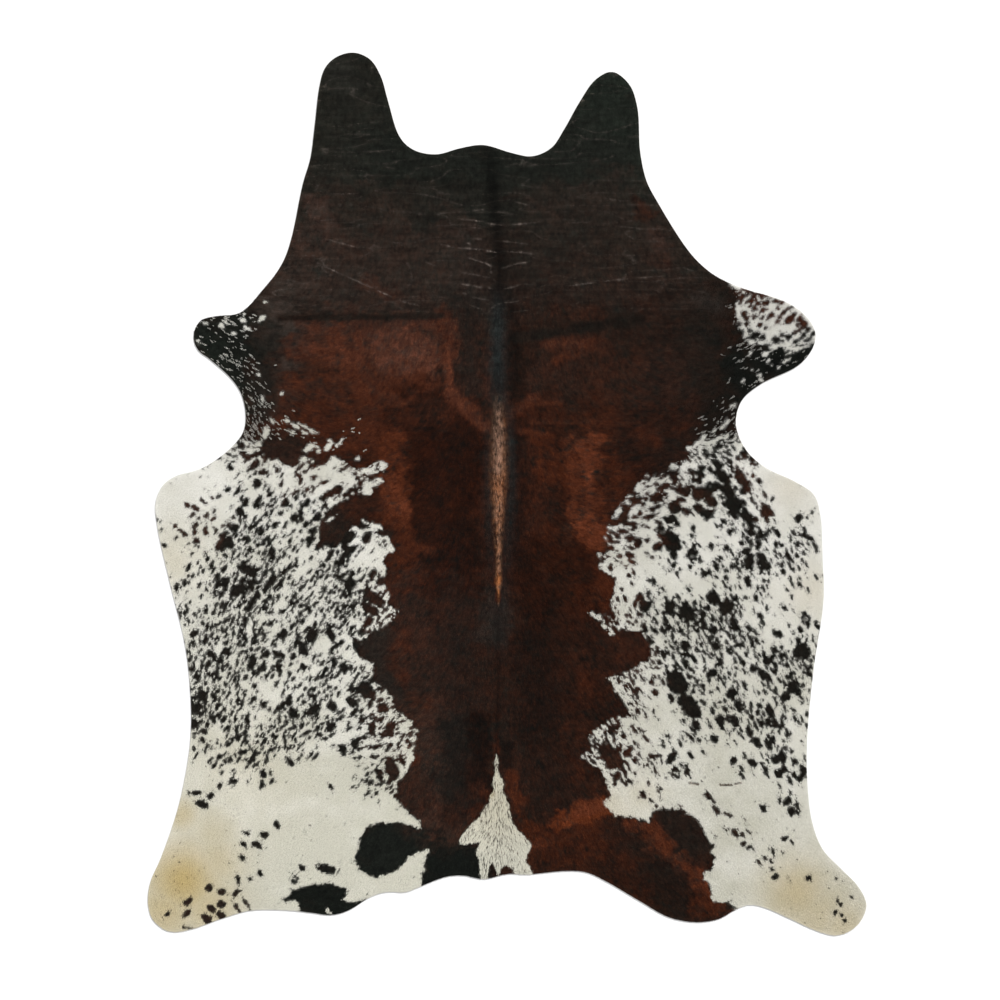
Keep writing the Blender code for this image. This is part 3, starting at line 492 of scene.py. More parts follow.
# Direction of the lying hair: (column, row, across, down), the last two as in the photo
HAIR_FLOW = (
    (330, 80, 0, 1), (610, 100, 0, 1), (500, 160, 0, 1), (400, 200, 0, 1), (600, 200, 0, 1),
    (320, 250, -0.2, 1), (660, 250, 0.2, 1), (500, 300, 0, 1), (500, 500, 0, 1), (500, 700, 0, 1),
    (400, 350, -0.3, 1), (600, 350, 0.3, 1), (250, 310, -1, -0.2), (220, 335, -1, -0.6),
    (200, 345, -1, -0.55), (240, 370, -1, -0.8), (248, 400, -0.6, -1), (255, 425, -0.6, -1),
    (300, 428, -1, -0.5), (290, 360, -0.8, 0.2), (740, 310, 1, -0.7), (770, 325, 1, -0.8),
    (790, 350, 1, -0.5), (755, 365, 1, -0.5), (740, 390, 0.8, -0.6), (732, 415, 0.9, -1),
    (710, 425, 1, -0.6), (690, 360, 0.7, 0.2), (270, 470, -0.6, 1), (330, 470, -1, 0.5),
    (370, 475, -1, 0.45), (310, 500, -0.75, 1), (250, 520, -0.6, 1), (190, 500, -0.9, 1),
    (340, 560, -0.7, 1), (250, 600, -0.5, 1), (200, 620, -0.3, 1), (340, 640, -0.75, 1),
    (390, 600, -0.6, 1), (390, 710, -1, 0.8), (360, 750, -1, 0.6), (300, 700, -0.5, 1),
    (220, 700, -0.35, 1), (250, 780, -0.5, 1), (330, 790, -0.8, 1), (200, 860, -0.3, 1),
    (170, 900, -0.2, 1), (240, 900, -0.9, 0.6), (330, 890, -0.8, 0.8), (380, 850, -0.7, 1),
    (400, 880, -0.6, 1), (440, 820, -0.4, 1), (560, 820, 0.4, 1), (640, 870, 0.7, 1), (700, 890, 0.7, 1),
    (740, 470, 0.55, 1), (700, 470, 0.8, 0.8), (660, 480, 1, -0.35), (640, 500, 1, -0.35),
    (690, 500, 0.8, 0.5), (630, 530, 1, 0.1), (620, 550, 0.9, 0.5), (780, 490, 0.7, 0.8),
    (680, 540, 0.5, 1), (760, 560, 0.35, 1), (810, 540, 0.6, 1), (620, 600, 0.5, 1), (700, 620, 0.5, 1),
    (780, 640, 0.4, 1), (640, 660, 0.7, 1), (720, 700, 0.5, 1), (790, 720, 0.4, 1), (610, 740, 0.6, 0.8),
    (680, 750, 0.6, 1), (700, 800, 0.8, 1), (780, 800, 0.6, 1), (740, 840, 0.8, 1), (840, 900, 0.7, 1),
    (800, 880, 0.6, 1), (620, 800, 0.6, 1), (496, 800, 0, 1), (470, 835, -0.55, 1), (525, 835, 0.35, 1),
    (500, 860, 0, 1),
)

# Short cuts in the right flank, sunk and coloured as dark hair for the painted shade in them: (from column,
# from row, to column, to row, width)
SLITS = (
    (689, 783, 698, 784, 2.4), (720, 785, 732, 785, 2.2), (735, 784, 741, 783, 1.8),
)
SLIT_DEPTH = 1.2
SLIT_REACH = 4.0                # millimetres: distances from a cut past this one aren't told apart
SLIT_CROP = 0.55                # share of the hair's length that is gone at a cut

# Length of the lying hair: (column, row, millimetres)
HAIR_LENGTHS = (
    (350, 80, 4.5), (610, 90, 4.5), (500, 160, 4.2), (500, 250, 4.2), (320, 260, 5), (680, 260, 5),
    (500, 350, 7.5), (210, 340, 4.5), (250, 400, 4.5), (790, 330, 4.5), (740, 400, 4.5), (300, 460, 5.5),
    (720, 460, 5.5), (500, 600, 8.5), (250, 600, 6), (760, 600, 6), (500, 820, 9), (300, 850, 7),
    (720, 850, 7), (180, 900, 6.5), (840, 910, 6.5),
)

# ---------------------------------------------------------------- the canvas's sizes, in millimetres
CANVAS_MARGIN = 30.0            # round the rug
CANVAS_CELL = 1.25
CHART_CELL = 20.0               # of charts that are blended from places
NEAR_PLACE = 12.0               # within this distance, a place of a chart counts in full
NEAR_FLOW = 25.0                # the same for the hair's direction
REACH = 60.0                    # distances past this one aren't told apart
MARK_REACH = 8.0                # the same, outside spots and marks
TINY = 1e-12                    # keeps a stroke of no length from a division by zero
NECK_END = (0.37, 0.49)         # metres along: fine wrinkles begin between these
STREAK_STEPS = 9
MARK_TILT = 12.0                # deviation, in degrees, of scattered marks from the hair's direction
SWELLING = (0.55, 2.2)          # least and most area of a mark that grows with its share

# ---------------------------------------------------------------- chance: seeds and strengths
# Streaks along the hair: (size and length in millimetres, seed)
FINE = (2.0, 6.0, 11)
MEDIUM = (4.5, 9.0, 14)
COARSE = (9.0, 16.0, 12)
GREY_LINES = (2.2, 8.0, 29)
LIGHT_LINES = (2.2, 11.0, 33)
RUST_LINES = (2.5, 9.0, 36)
TAN_LINES = (1.6, 8.0, 35)

# Soft patches laid over each other: (size in millimetres, times as wide, strength, seed)
BRUSH_EDGE = ((24, 2, 1, 31), (7, 3, 0.7, 32))
WARPS = (((24, 1, 4.5, 51), (9, 1, 2.5, 52)), ((24, 1, 4.5, 53), (9, 1, 2.5, 54)))
RUST_MOTTLE = ((36, 1, 0.14, 40), (14, 1, 0.112, 41), (6, 2, 0.112, 56))
LIGHT_MOTTLE = ((14, 1, 0.06, 34), (3, 1, 0.14, 55))
NECK_MOTTLE = ((4.5, 9, 1, 37),)
CREAM_MOTTLE = ((70, 1.3, 0.09, 61), (26, 1, 0.07, 62))
CREST_HIGHLIGHT_BREAKS = ((3.2, 1.6, 1, 38),)
PUCKERS = ((15, 7, 1, 39),)

# Marks scattered by chance: (spacing, width, least and most length for the width, seed), in photo pixels
LARGE_SPECK = (8.0, 5.4, (1.2, 1.7), 26)
SPECK = (5.0, 2.6, (1.7, 2.8), 21)
DUST = (3.2, 1.3, (2.0, 3.6), 30)
STRAY_HAIR = (1.9, 0.95, (1.0, 2.4), 22)
GHOST = (2.6, 1.1, (1.0, 2.0), 25)
WEDGE_LINE = (1.9, 0.55, (5.0, 9.0), 24)
FROST = (3.0, 1.2, (2.4, 4.6), 23)
CLUMPS = (24.0, 13)             # size in millimetres and seed of the patches where specks crowd
HAZE = (30.0, 28)               # the same, of patches with ghosts

# How ragged the edges of the pattern are: millimetres for each of FINE, MEDIUM and COARSE
EDGES = {
    "wedge": (1.3, 0.7, 0), "back": (0, 1.6, 1.2), "specks": (0, 0.2, 0), "blots": (0, 0.9, 0.4),
    "black": (0, 1, 0), "dark": (0.6, 0, 0), "frost": (0.25, 0, 0), "white": (0.8, 0.9, 0),
}
FORELEG_X = (0.54, 0.58)        # metres: the right foreleg begins, where blots have calmer edges
FORELEG_Y = (0.33, 0.37)
FORELEG_CALM = 0.7
EDGE_SOFTNESS = 0.8             # millimetres on both sides of an edge where white turns dark
FLECK_SOFTNESS = 0.6            # the same of the white flecks
WHITE_INSET = 0.6               # millimetres by which the white marks are narrower than charted
WEDGE_CLEAR = 4.0               # millimetres round the wedge without specks
STRAY_REACH = 3.6               # millimetres that stray dark hairs reach round a dark mark

# How many marks there are, beside the charted shares, and how dark they are from 0 to 1
CROWDING = (0.6, 0.8)           # of specks: the least, and how much more in the middle of a clump
SPECK_GAIN = 1.1
SPECK_FLOOR = 0.05              # charted shares below this one have no specks
SPECK_MOST = 0.9
LARGE_SHARE = 0.85
SMALL_SHARE = 0.8
DUST_SHARE = 0.11
STRAY_SHARE = 0.38
GHOST_SHARE = 0.12
WEDGE_LINE_SHARE = 0.34
WEDGE_RIGHT = (0.7, 40.0)       # share of those lines that is missing this far right of the middle
FROST_GAIN = 1.25
FROST_FLOOR = 0.03
STRAY_DARK = 0.75
GHOST_DARK = 0.3
WEDGE_LINE_DARK = 0.7
GREY_DARK = 0.3

# How strongly tones vary
RUST_SWING = 0.22               # of rust, by its streaks
LIGHT_SWING = 0.14              # of light, by its streaks
NECK_SWING = (0.04, 0.08)       # of light, by NECK_MOTTLE: everywhere, and how much more on the neck
TAN_SWING = (0.68, 0.4)         # of the tan stripe: its mean, and by its streaks
CREST_HIGHLIGHT_SWING = (0.3, 0.7)        # of the painted highlight on the crests: the least, and how much more between their breaks
STRIPE_SHADE = 0.65             # how much darker the dark stripes are where they are strongest
SLATE_SHEEN_SHARE = 0.95
MOST_RUST = 1.4
MOST_CREAM = 1.6
MOST_TAN = 1.2

ROOT_SEED = 41
HAIR_SEED = 42


# ---------------------------------------------------------------- the canvas, a field over the rug
def canvas_axes(step):
    """The x of each column and the y of each row of a lattice over the rug."""
    low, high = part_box("hide")
    margin = CANVAS_MARGIN * MM
    x = np.arange(low[0] - margin, high[0] + margin + step, step)
    y = np.arange(low[1] - margin, high[1] + margin + step, step)
    return x, y


CELL = CANVAS_CELL * MM
COLUMN_X, ROW_Y = canvas_axes(CELL)
GRID_X, GRID_Y = np.meshgrid(COLUMN_X, ROW_Y)


def lookup(field, x, y, x0, y0, step):
    """A field's value between its lattice points."""
    column = np.clip((x - x0) / step, 0, field.shape[1] - 1.001)
    row = np.clip((y - y0) / step, 0, field.shape[0] - 1.001)
    c = column.astype(int)
    r = row.astype(int)
    s = column - c
    t = row - r
    low = field[r, c] * (1 - s) + field[r, c + 1] * s
    high = field[r + 1, c] * (1 - s) + field[r + 1, c + 1] * s
    return low * (1 - t) + high * t


def sample(field, x, y):
    """A canvas field at any places of the rug."""
    return lookup(field, x, y, COLUMN_X[0], ROW_Y[0], CELL)


def place(pixels):
    """Places on the rug, in metres, of pixels of the photo."""
    pixels = np.asarray(pixels, dtype=float)
    x = (pixels[..., 0] - MIDDLE[0]) * PIXEL
    y = (MIDDLE[1] - pixels[..., 1]) * PIXEL
    return np.stack([x, y], axis=-1)


def window(low, high, reach):
    """The block of the canvas round a box, as two slices."""
    first_column = max(int((low[0] - reach - COLUMN_X[0]) / CELL), 0)
    last_column = min(int((high[0] + reach - COLUMN_X[0]) / CELL) + 2, len(COLUMN_X))
    first_row = max(int((low[1] - reach - ROW_Y[0]) / CELL), 0)
    last_row = min(int((high[1] + reach - ROW_Y[0]) / CELL) + 2, len(ROW_Y))
    return slice(first_row, last_row), slice(first_column, last_column)


def nearest(x, y, start, run):
    """Distance from places to a straight line, and the share along the line that is nearest."""
    x = x - start[0]
    y = y - start[1]
    at = np.clip((x * run[0] + y * run[1]) / max(run @ run, TINY), 0.0, 1.0)
    return np.hypot(x - at * run[0], y - at * run[1]), at


def line_fields(line, reach):
    """Distance to a line of points, up to reach, and the share along the line that is nearest."""
    distance = np.full(GRID_X.shape, reach)
    share = np.zeros(GRID_X.shape)
    for i, (a, b) in enumerate(zip(line[:-1], line[1:])):
        block = window(np.minimum(a, b), np.maximum(a, b), reach)
        gap, at = nearest(GRID_X[block], GRID_Y[block], a, b - a)
        near = gap < distance[block]
        distance[block] = np.where(near, gap, distance[block])
        share[block] = np.where(near, (i + at) / (len(line) - 1), share[block])
    return distance, share


def enclosed(loop):
    """Which cells lie inside a closed loop."""
    mask = np.zeros(GRID_X.shape, dtype=bool)
    for a, b in zip(loop, np.roll(loop, -1, axis=0)):
        low, high = (a, b) if a[1] < b[1] else (b, a)
        first = max(int(np.ceil((low[1] - ROW_Y[0]) / CELL)), 0)
        last = min(int(np.ceil((high[1] - ROW_Y[0]) / CELL)), len(ROW_Y))
        for row in range(first, last):
            at = (ROW_Y[row] - low[1]) / (high[1] - low[1])
            x = low[0] + at * (high[0] - low[0])
            column = int(np.clip(np.ceil((x - COLUMN_X[0]) / CELL), 0, len(COLUMN_X)))
            mask[row, column:] ^= True
    return mask


def depth_inside(loop):
    """Distance from a closed loop, positive inside it and negative outside."""
    distance, _ = line_fields(np.vstack([loop, loop[:1]]), REACH * MM)
    return np.where(enclosed(loop), distance, -distance)


def spread(table, softness=NEAR_PLACE):
    """Each column of a table of places, after the first two, blended over the canvas by nearness."""
    rows = np.array(table, dtype=float)
    at = place(rows[:, :2])
    x, y = canvas_axes(CHART_CELL * MM)
    gx, gy = np.meshgrid(x, y)
    squared = (gx[..., None] - at[:, 0]) ** 2 + (gy[..., None] - at[:, 1]) ** 2
    weight = 1.0 / (squared + (softness * MM) ** 2) ** 2
    weight /= weight.sum(axis=2, keepdims=True)
    fields = [weight @ column for column in rows[:, 2:].T]
    return [lookup(field, GRID_X, GRID_Y, x[0], y[0], CHART_CELL * MM) for field in fields]


def spread_share(table):
    """A share over the canvas, from a table of places and per cent."""
    return spread(np.array(table) / (1, 1, 100))[0]


def hair_flow():
    """The direction of the lying hair over the canvas: x and y of a vector of length 1."""
    across, down = spread(HAIR_FLOW, NEAR_FLOW)
    size = np.hypot(across, down)
    return across / size, -down / size


FLOW_X, FLOW_Y = hair_flow()


def smooth_step(low, high, value):
    """0 below low, 1 above high and a soft rise between."""
    share = np.clip((value - low) / (high - low), 0.0, 1.0)
    return share * share * (3 - 2 * share)


def clouds(size, seed, stretch=1.0):
    """Soft random patches about `size` millimetres high and `stretch` times as wide, 0 to 1."""
    chance = np.random.default_rng(seed)
    step = size * MM
    rows = int((ROW_Y[-1] - ROW_Y[0]) / step) + 3
    columns = int((COLUMN_X[-1] - COLUMN_X[0]) / step / stretch) + 3
    field = chance.random((rows, columns))
    across = COLUMN_X[0] + (GRID_X - COLUMN_X[0]) / stretch
    return lookup(field, across, GRID_Y, COLUMN_X[0], ROW_Y[0], step)


def centred(field):
    """The field with mean 0 and deviation 1."""
    return (field - field.mean()) / field.std()


def mottle(layers):
    """Soft random patches laid over each other, with mean 0."""
    return sum(strength * centred(clouds(size, seed, wide)) for size, wide, strength, seed in layers)


def streaks(size, length, seed):
    """Random marks drawn out along the hair, with mean 0 and deviation 1."""
    marks = clouds(size, seed)
    total = np.zeros(GRID_X.shape)
    for shift in np.linspace(-0.5, 0.5, STREAK_STEPS) * length * MM:
        total += sample(marks, GRID_X + shift * FLOW_X, GRID_Y + shift * FLOW_Y)
    return centred(total)


ON_NECK = smooth_step(NECK_END[0], NECK_END[1], GRID_Y)


# ---------------------------------------------------------------- relief
def bowed_line(x0, y0, x1, y1, bow):
    """Points from one end of a wrinkle or crease to the other, bowed in its middle, in metres."""
    start = np.array((x0, y0), dtype=float)
    end = np.array((x1, y1), dtype=float)
    length = np.linalg.norm(end - start)
    share = np.linspace(0.0, 1.0, max(4, round(length / LINE_STEP)))[:, None]
    side = np.array([start[1] - end[1], end[0] - start[0]]) / length
    return (start + share * (end - start) + side * bow * 4 * share * (1 - share)) * MM


def fold(line, width, height, relief):
    """Adds a soft ridge, or a trough, along a line to the relief, and returns its profile."""
    distance, share = line_fields(line, width / 2 * MM)
    across = 0.5 + 0.5 * np.cos(np.pi * distance / (width / 2 * MM))
    profile = across * np.clip(np.sin(np.pi * share), 0.0, 1.0) ** FOLD_END
    relief += height * MM * profile
    return profile


def slit_depth():
    """Depth inside the short cuts of the flank."""
    depth = np.full(GRID_X.shape, -SLIT_REACH * MM)
    for x0, y0, x1, y1, width in SLITS:
        distance, _ = line_fields(place([(x0, y0), (x1, y1)]), SLIT_REACH * MM)
        depth = np.maximum(depth, width * PIXEL / 2 - distance)
    return depth


def coat_relief(rim_depth):
    """Height of the top of the coat and of the skin, and how strongly it folds at each cell, which sets a
    painted highlight on its crests.
    """
    along, on_spine, at_flank = np.array(THICKNESS[::-1], dtype=float).T
    on_spine = np.interp(GRID_Y / MM, along, on_spine)
    at_flank = np.interp(GRID_Y / MM, along, at_flank)
    half_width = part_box("hide")[1][0]
    share = np.clip(np.abs(GRID_X) / half_width, 0.0, 1.0) ** BELLY_FALL
    full = (on_spine + (at_flank - on_spine) * share) * MM
    inwards, rise = np.array(RIM_RISE).T
    rim_share = np.interp(rim_depth, inwards * MM, rise)
    relief = np.zeros(GRID_X.shape)
    crests = np.zeros(GRID_X.shape)
    # painted highlight: the higher a wrinkle, the paler its crest is painted
    for *ends, bow, height in WRINKLES:
        ridge = fold(bowed_line(*ends, bow), WRINKLE_WIDTH, height, relief)
        crests = np.maximum(crests, height * ridge ** 2)
    puckers = ON_NECK * smooth_step(0.8, 1.0, 1 - np.abs(mottle(PUCKERS)))
    relief += PUCKER_HEIGHT * MM * puckers
    crests = np.maximum(crests, PUCKER_CREST_HIGHLIGHT * puckers)
    relief -= SLIT_DEPTH * MM * smooth_step(-MM, MM, slit_depth())
    for *ends, bow, sunk in CREASES:
        fold(bowed_line(*ends, bow), CREASE_WIDTH, -sunk, relief)
    fold(np.array(SPINE) * MM, SPINE_WIDTH, SPINE_HEIGHT, relief)
    top = CUT_EDGE * MM + (full - CUT_EDGE * MM + relief) * rim_share
    skin = top - HAIR_DEPTH * MM * rim_share
    return top, skin, crests


# ---------------------------------------------------------------- the pattern
def stamp(marks):
    """Depth inside the nearest of the marks: (column, row, length, width, tilt), in photo pixels."""
    field = np.full(GRID_X.shape, -MARK_REACH * MM)
    at = place(marks[:, :2])
    half = marks[:, 2:4] * PIXEL / 2
    turn = np.radians(marks[:, 4])
    flow_x = sample(FLOW_X, at[:, 0], at[:, 1])
    flow_y = sample(FLOW_Y, at[:, 0], at[:, 1])
    along_x = flow_x * np.cos(turn) - flow_y * np.sin(turn)
    along_y = flow_x * np.sin(turn) + flow_y * np.cos(turn)
    for (x, y), (half_length, half_width), ux, uy in zip(at, half, along_x, along_y):
        block = window((x, y), (x, y), max(half_length, half_width) + MARK_REACH * MM)
        dx = GRID_X[block] - x
        dy = GRID_Y[block] - y
        along = (dx * ux + dy * uy) / half_length
        aside = (dy * ux - dx * uy) / half_width
        depth = (1.0 - np.sqrt(along ** 2 + aside ** 2)) * min(half_length, half_width)
        field[block] = np.maximum(field[block], depth)
    return field


def charted(table):
    """Depth inside the marks of a table, where a tilt that is left out is 0."""
    return stamp(np.array([(*mark, 0)[:5] for mark in table], dtype=float))


def scatter(share, kind, full=1.0):
    """Depth inside seeded marks of one kind, on a shaken lattice, as dense as share says.

    Marks have their kind's width where the share is `full`, and grow or shrink with it.
    """
    spacing, width, stretch, seed = kind
    chance = np.random.default_rng(seed)
    step = spacing * PIXEL
    x, y = np.meshgrid(*canvas_axes(step))
    x[1::2] += step / 2
    x = (x + chance.uniform(-0.45, 0.45, x.shape) * step).ravel()
    y = (y + chance.uniform(-0.45, 0.45, y.shape) * step).ravel()
    wanted = sample(share, x, y)
    swelling = np.sqrt(np.clip(wanted / full, *SWELLING)) if full < 1 else 1.0
    wide = width * swelling * np.exp(chance.normal(0.0, 0.25, len(x)))
    long = wide * chance.uniform(*stretch, len(x))
    area = math.pi / 4 * (width * swelling) ** 2 * sum(stretch) / 2
    kept = chance.random(len(x)) < wanted * spacing ** 2 / area
    tilt = chance.normal(0.0, MARK_TILT, len(x))
    columns = (x / PIXEL + MIDDLE[0], MIDDLE[1] - y / PIXEL, long, wide, tilt)
    return stamp(np.column_stack(columns)[kept])


def specks(share):
    """Depth inside the dark specks of three sizes that are scattered over the white coat."""
    large = spread_share(LARGE_SPECKS)
    return np.maximum.reduce([
        scatter(LARGE_SHARE * share * large, LARGE_SPECK, full=0.4),
        scatter(SMALL_SHARE * share * (1 - large), SPECK),
        scatter(DUST_SHARE * share, DUST),
    ])


def pigment_chart():
    """Share of dark hair at each cell, the same of the skin below, and depth inside the wedge.

    White flecks in the dark coat are in its hair alone.
    """
    grain = np.stack([streaks(*kind) for kind in (FINE, MEDIUM, COARSE)]) * MM
    edge = {name: np.tensordot(weights, grain, 1) for name, weights in EDGES.items()}
    reach = MARK_REACH * MM
    wedge = depth_inside(place(TAIL_WEDGE)) + edge["wedge"]
    back = np.minimum(depth_inside(place(DARK_BACK)) + edge["back"], -wedge)
    back = np.clip(back, -reach, reach)
    white = (back < 0) & (wedge < -WEDGE_CLEAR * MM)
    crowding = CROWDING[0] + CROWDING[1] * smooth_step(0.25, 0.75, clouds(*CLUMPS))
    share = (spread_share(SPECKLED) - SPECK_FLOOR) * crowding * SPECK_GAIN
    share = np.clip(share, 0.0, SPECK_MOST) * white
    on_foreleg = smooth_step(*FORELEG_X, GRID_X) * smooth_step(*FORELEG_Y, GRID_Y)
    dark = np.maximum.reduce([
        back,
        specks(share) + edge["specks"],
        charted(BLOTS) + (1 - FORELEG_CALM * on_foreleg) * edge["blots"],
        depth_inside(place(BLACK_PATCH)) + edge["black"],
    ])
    stray = np.exp(np.minimum(dark, 0) / (STRAY_REACH * MM)) - math.exp(-MARK_REACH / STRAY_REACH)
    hazy = GHOST_SHARE * white * smooth_step(0.6, 0.8, clouds(*HAZE))
    missing = WEDGE_RIGHT[0] * smooth_step(0.0, WEDGE_RIGHT[1] * MM, GRID_X)
    in_wedge = smooth_step(-1 * MM, 4 * MM, wedge) * (1 - missing)
    layers = (
        (1.0, dark + edge["dark"]),
        # painted shade: the cuts are coloured as dark hair, for the shadow inside them
        (1.0, slit_depth()),
        (STRAY_DARK, scatter(STRAY_SHARE * stray * white, STRAY_HAIR)),
        (GHOST_DARK, scatter(hazy, GHOST)),
        (WEDGE_LINE_DARK, scatter(WEDGE_LINE_SHARE * in_wedge, WEDGE_LINE)),
    )
    soft = EDGE_SOFTNESS * MM
    pigment = [strength * smooth_step(-soft, soft, layer) for strength, layer in layers]
    speckled = smooth_step(0.15, 0.45, share + 0.5 * in_wedge)
    greyish = GREY_DARK * smooth_step(0.1, 1.6, streaks(*GREY_LINES)) * speckled
    pigment = np.maximum.reduce([*pigment, greyish])
    marks = charted(WHITE_MARKS) - WHITE_INSET * MM + edge["white"]
    on_skin = pigment * (1 - smooth_step(-MM, MM, marks))
    frosted = np.clip(FROST_GAIN * spread_share(FROSTED) - FROST_FLOOR, 0.0, 1.0) * (back > 0)
    flecks = scatter(frosted, FROST) + edge["frost"]
    soft = FLECK_SOFTNESS * MM
    pigment = on_skin * (1 - smooth_step(-soft, soft, flecks))
    return pigment, on_skin, wedge


def brush(strokes, fields, ragged):
    """Paints strokes of tone over the fields, each with a soft and ragged edge."""
    for x0, y0, x1, y1, width, *tones in strokes:
        a = place((x0, y0))
        b = place((x1, y1))
        half = width * PIXEL / 2
        block = window(np.minimum(a, b), np.maximum(a, b), 2 * half)
        gap, _ = nearest(GRID_X[block], GRID_Y[block], a, b - a)
        weight = 1.0 - smooth_step(0.4, 1.5, gap / half + 0.2 * ragged[block])
        for field, tone in zip(fields, tones):
            field[block] += (tone / 100 - field[block]) * weight


def stripe(table):
    """Strength of a soft stripe along the back."""
    down = MIDDLE[1] - GRID_Y / PIXEL
    rows, *columns = np.array(table, dtype=float).T
    middle, half_width, strength = [np.interp(down, rows, column) for column in columns]
    return strength / 100 * np.exp(-((GRID_X / PIXEL + MIDDLE[0] - middle) / half_width) ** 2)


def dark_tones():
    """Rust, bloom and light of the dark hair, as the strokes say."""
    ragged = mottle(BRUSH_EDGE)
    fields = [np.full(GRID_X.shape, tone / 100) for tone in DARK_BASE]
    brush(SPECK_STROKES, fields, ragged)
    on_flank = [field.copy() for field in fields]
    brush(DARK_STROKES, fields, ragged)
    on_back = smooth_step(-6 * MM, 6 * MM, depth_inside(place(DARK_BACK)))
    fields = [low + (high - low) * on_back for high, low in zip(fields, on_flank)]
    beside_spine = smooth_step(10 * MM, 30 * MM, np.abs(GRID_X - SPINE_X * MM))
    warp_x, warp_y = [mottle(layers) * MM for layers in WARPS]
    fields = [sample(field, GRID_X + warp_x * beside_spine, GRID_Y + warp_y) for field in fields]
    # lines of tone, among them painted sheen round the whorls
    brush(SHEEN_AND_LINE_STROKES, fields, 0.6 * ragged)
    return fields


def stains():
    """Strength of the yellowed places."""
    stain = np.zeros(GRID_X.shape)
    for column, row, radius, strength in STAINS:
        x, y = place((column, row))
        fade = np.exp(-((GRID_X - x) ** 2 + (GRID_Y - y) ** 2) / (radius * PIXEL) ** 2)
        stain = np.maximum(stain, strength / 100 * fade)
    return stain


def tone_fields(crests):
    """Colour of the hair over the canvas, apart from its pigment."""
    rust, bloom, light = dark_tones()
    rust = rust * (1 + RUST_SWING * streaks(*RUST_LINES) + mottle(RUST_MOTTLE))
    light = light * (1 + mottle(LIGHT_MOTTLE) + LIGHT_SWING * streaks(*LIGHT_LINES))
    light = light * (1 + (NECK_SWING[0] + NECK_SWING[1] * ON_NECK) * mottle(NECK_MOTTLE))
    for table in DARK_STRIPES:
        light = light * (1 - STRIPE_SHADE * stripe(table))
    tan = stripe(TAN_STRIPE) * (TAN_SWING[0] + TAN_SWING[1] * streaks(*TAN_LINES))
    # painted highlight on the crests of the neck wrinkles, broken into dashes, where the hair also parts
    broken = CREST_HIGHLIGHT_SWING[0] + CREST_HIGHLIGHT_SWING[1] * smooth_step(-0.9, 1.0, mottle(CREST_HIGHLIGHT_BREAKS))
    return {
        "rust": np.clip(rust, 0.0, MOST_RUST),
        "bloom": bloom,
        "light": light,
        # cream of the white hair, partly painted shade that dims it
        "cream_and_shade": np.clip(spread_share(CREAM_AND_SHADE) + mottle(CREAM_MOTTLE), 0.0, MOST_CREAM),
        "stain": stains(),
        "tan": np.clip(tan, 0.0, MOST_TAN),
        # painted sheen: blue-grey stripes along the spine
        "slate_sheen": SLATE_SHEEN_SHARE * np.maximum.reduce([stripe(table) for table in SLATE_SHEEN_STRIPES]),
        "crest": np.clip(broken * smooth_step(0.1, 1.4, crests), 0.0, 1.0),
    }


# ---------------------------------------------------------------- meshes
def rounded(loop):
    """The loop with its corners rounded: a Catmull-Rom curve through its points."""
    before = np.roll(loop, 1, axis=0)
    after = np.roll(loop, -1, axis=0)
    beyond = np.roll(loop, -2, axis=0)
    parts = []
    for at in np.arange(RIM_PARTS) / RIM_PARTS:
        pull = (after - before) * at + (2 * before - 5 * loop + 4 * after - beyond) * at ** 2
        parts.append(loop + (pull + (3 * loop - before - 3 * after + beyond) * at ** 3) / 2)
    return np.stack(parts, axis=1).reshape(-1, 2)


def rim_loop():
    """The rim of the underside of the CAD solid, as points in order, anticlockwise from above."""
    mesh = bmesh.new()
    mesh.from_mesh(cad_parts["hide"].data)
    bmesh.ops.remove_doubles(mesh, verts=mesh.verts, dist=0.01 * MM)
    flat = [face for face in mesh.faces if face.normal.z < -0.9 and face.calc_center_median().z < 0.1 * MM]
    under = set(flat)
    border = {}
    for face in flat:
        for loop in face.loops:
            if any(other not in under for other in loop.edge.link_faces):
                border[loop.vert.index] = (loop.link_loop_next.vert.index, loop.vert.co.xy.copy())
    start = next(iter(border))
    points = []
    at = start
    while True:
        at_next, co = border[at]
        points.append(co)
        at = at_next
        if at == start:
            break
    mesh.free()
    return rounded(np.array([point[:] for point in points])[::-1])


def inset(loop, distance):
    """The loop moved inwards."""
    along = np.roll(loop, -1, axis=0) - np.roll(loop, 1, axis=0)
    along /= np.linalg.norm(along, axis=1)[:, None]
    return loop + distance * np.column_stack([-along[:, 1], along[:, 0]])


def lattice(step, depth, keep_off):
    """Points in a lattice of triangles, no nearer to the rim than keep_off; both in millimetres."""
    step = step * MM
    x, _ = canvas_axes(step)
    _, y = canvas_axes(step * math.sin(math.pi / 3))
    gx, gy = np.meshgrid(x, y)
    gx[1::2] += step / 2
    kept = sample(depth, gx, gy) > keep_off * MM
    return np.column_stack([gx[kept], gy[kept]])


def triangulated(loops, loose):
    """Triangles inside the first loop that keep the loops as edges."""
    points = []
    edges = []
    for loop in loops:
        first = len(points)
        edges += [(first + i, first + (i + 1) % len(loop)) for i in range(len(loop))]
        points += [Vector(point) for point in loop]
    points += [Vector(point) for point in loose]
    border = [list(range(len(loops[0])))]
    found = delaunay_2d_cdt(points, edges, border, 1, 0.1 * MM)
    return np.array([point[:] for point in found[0]]), found[2]


def link(data, name):
    """A new object of a mesh, lamp or camera, in the scene."""
    piece = bpy.data.objects.new(name, data)
    bpy.context.scene.collection.objects.link(piece)
    return piece


def add_field(mesh, name, values):
    """A number for each point of a mesh, which its material reads."""
    mesh.attributes.new(name, "FLOAT", "POINT").data.foreach_set("value", values.astype(np.float32))


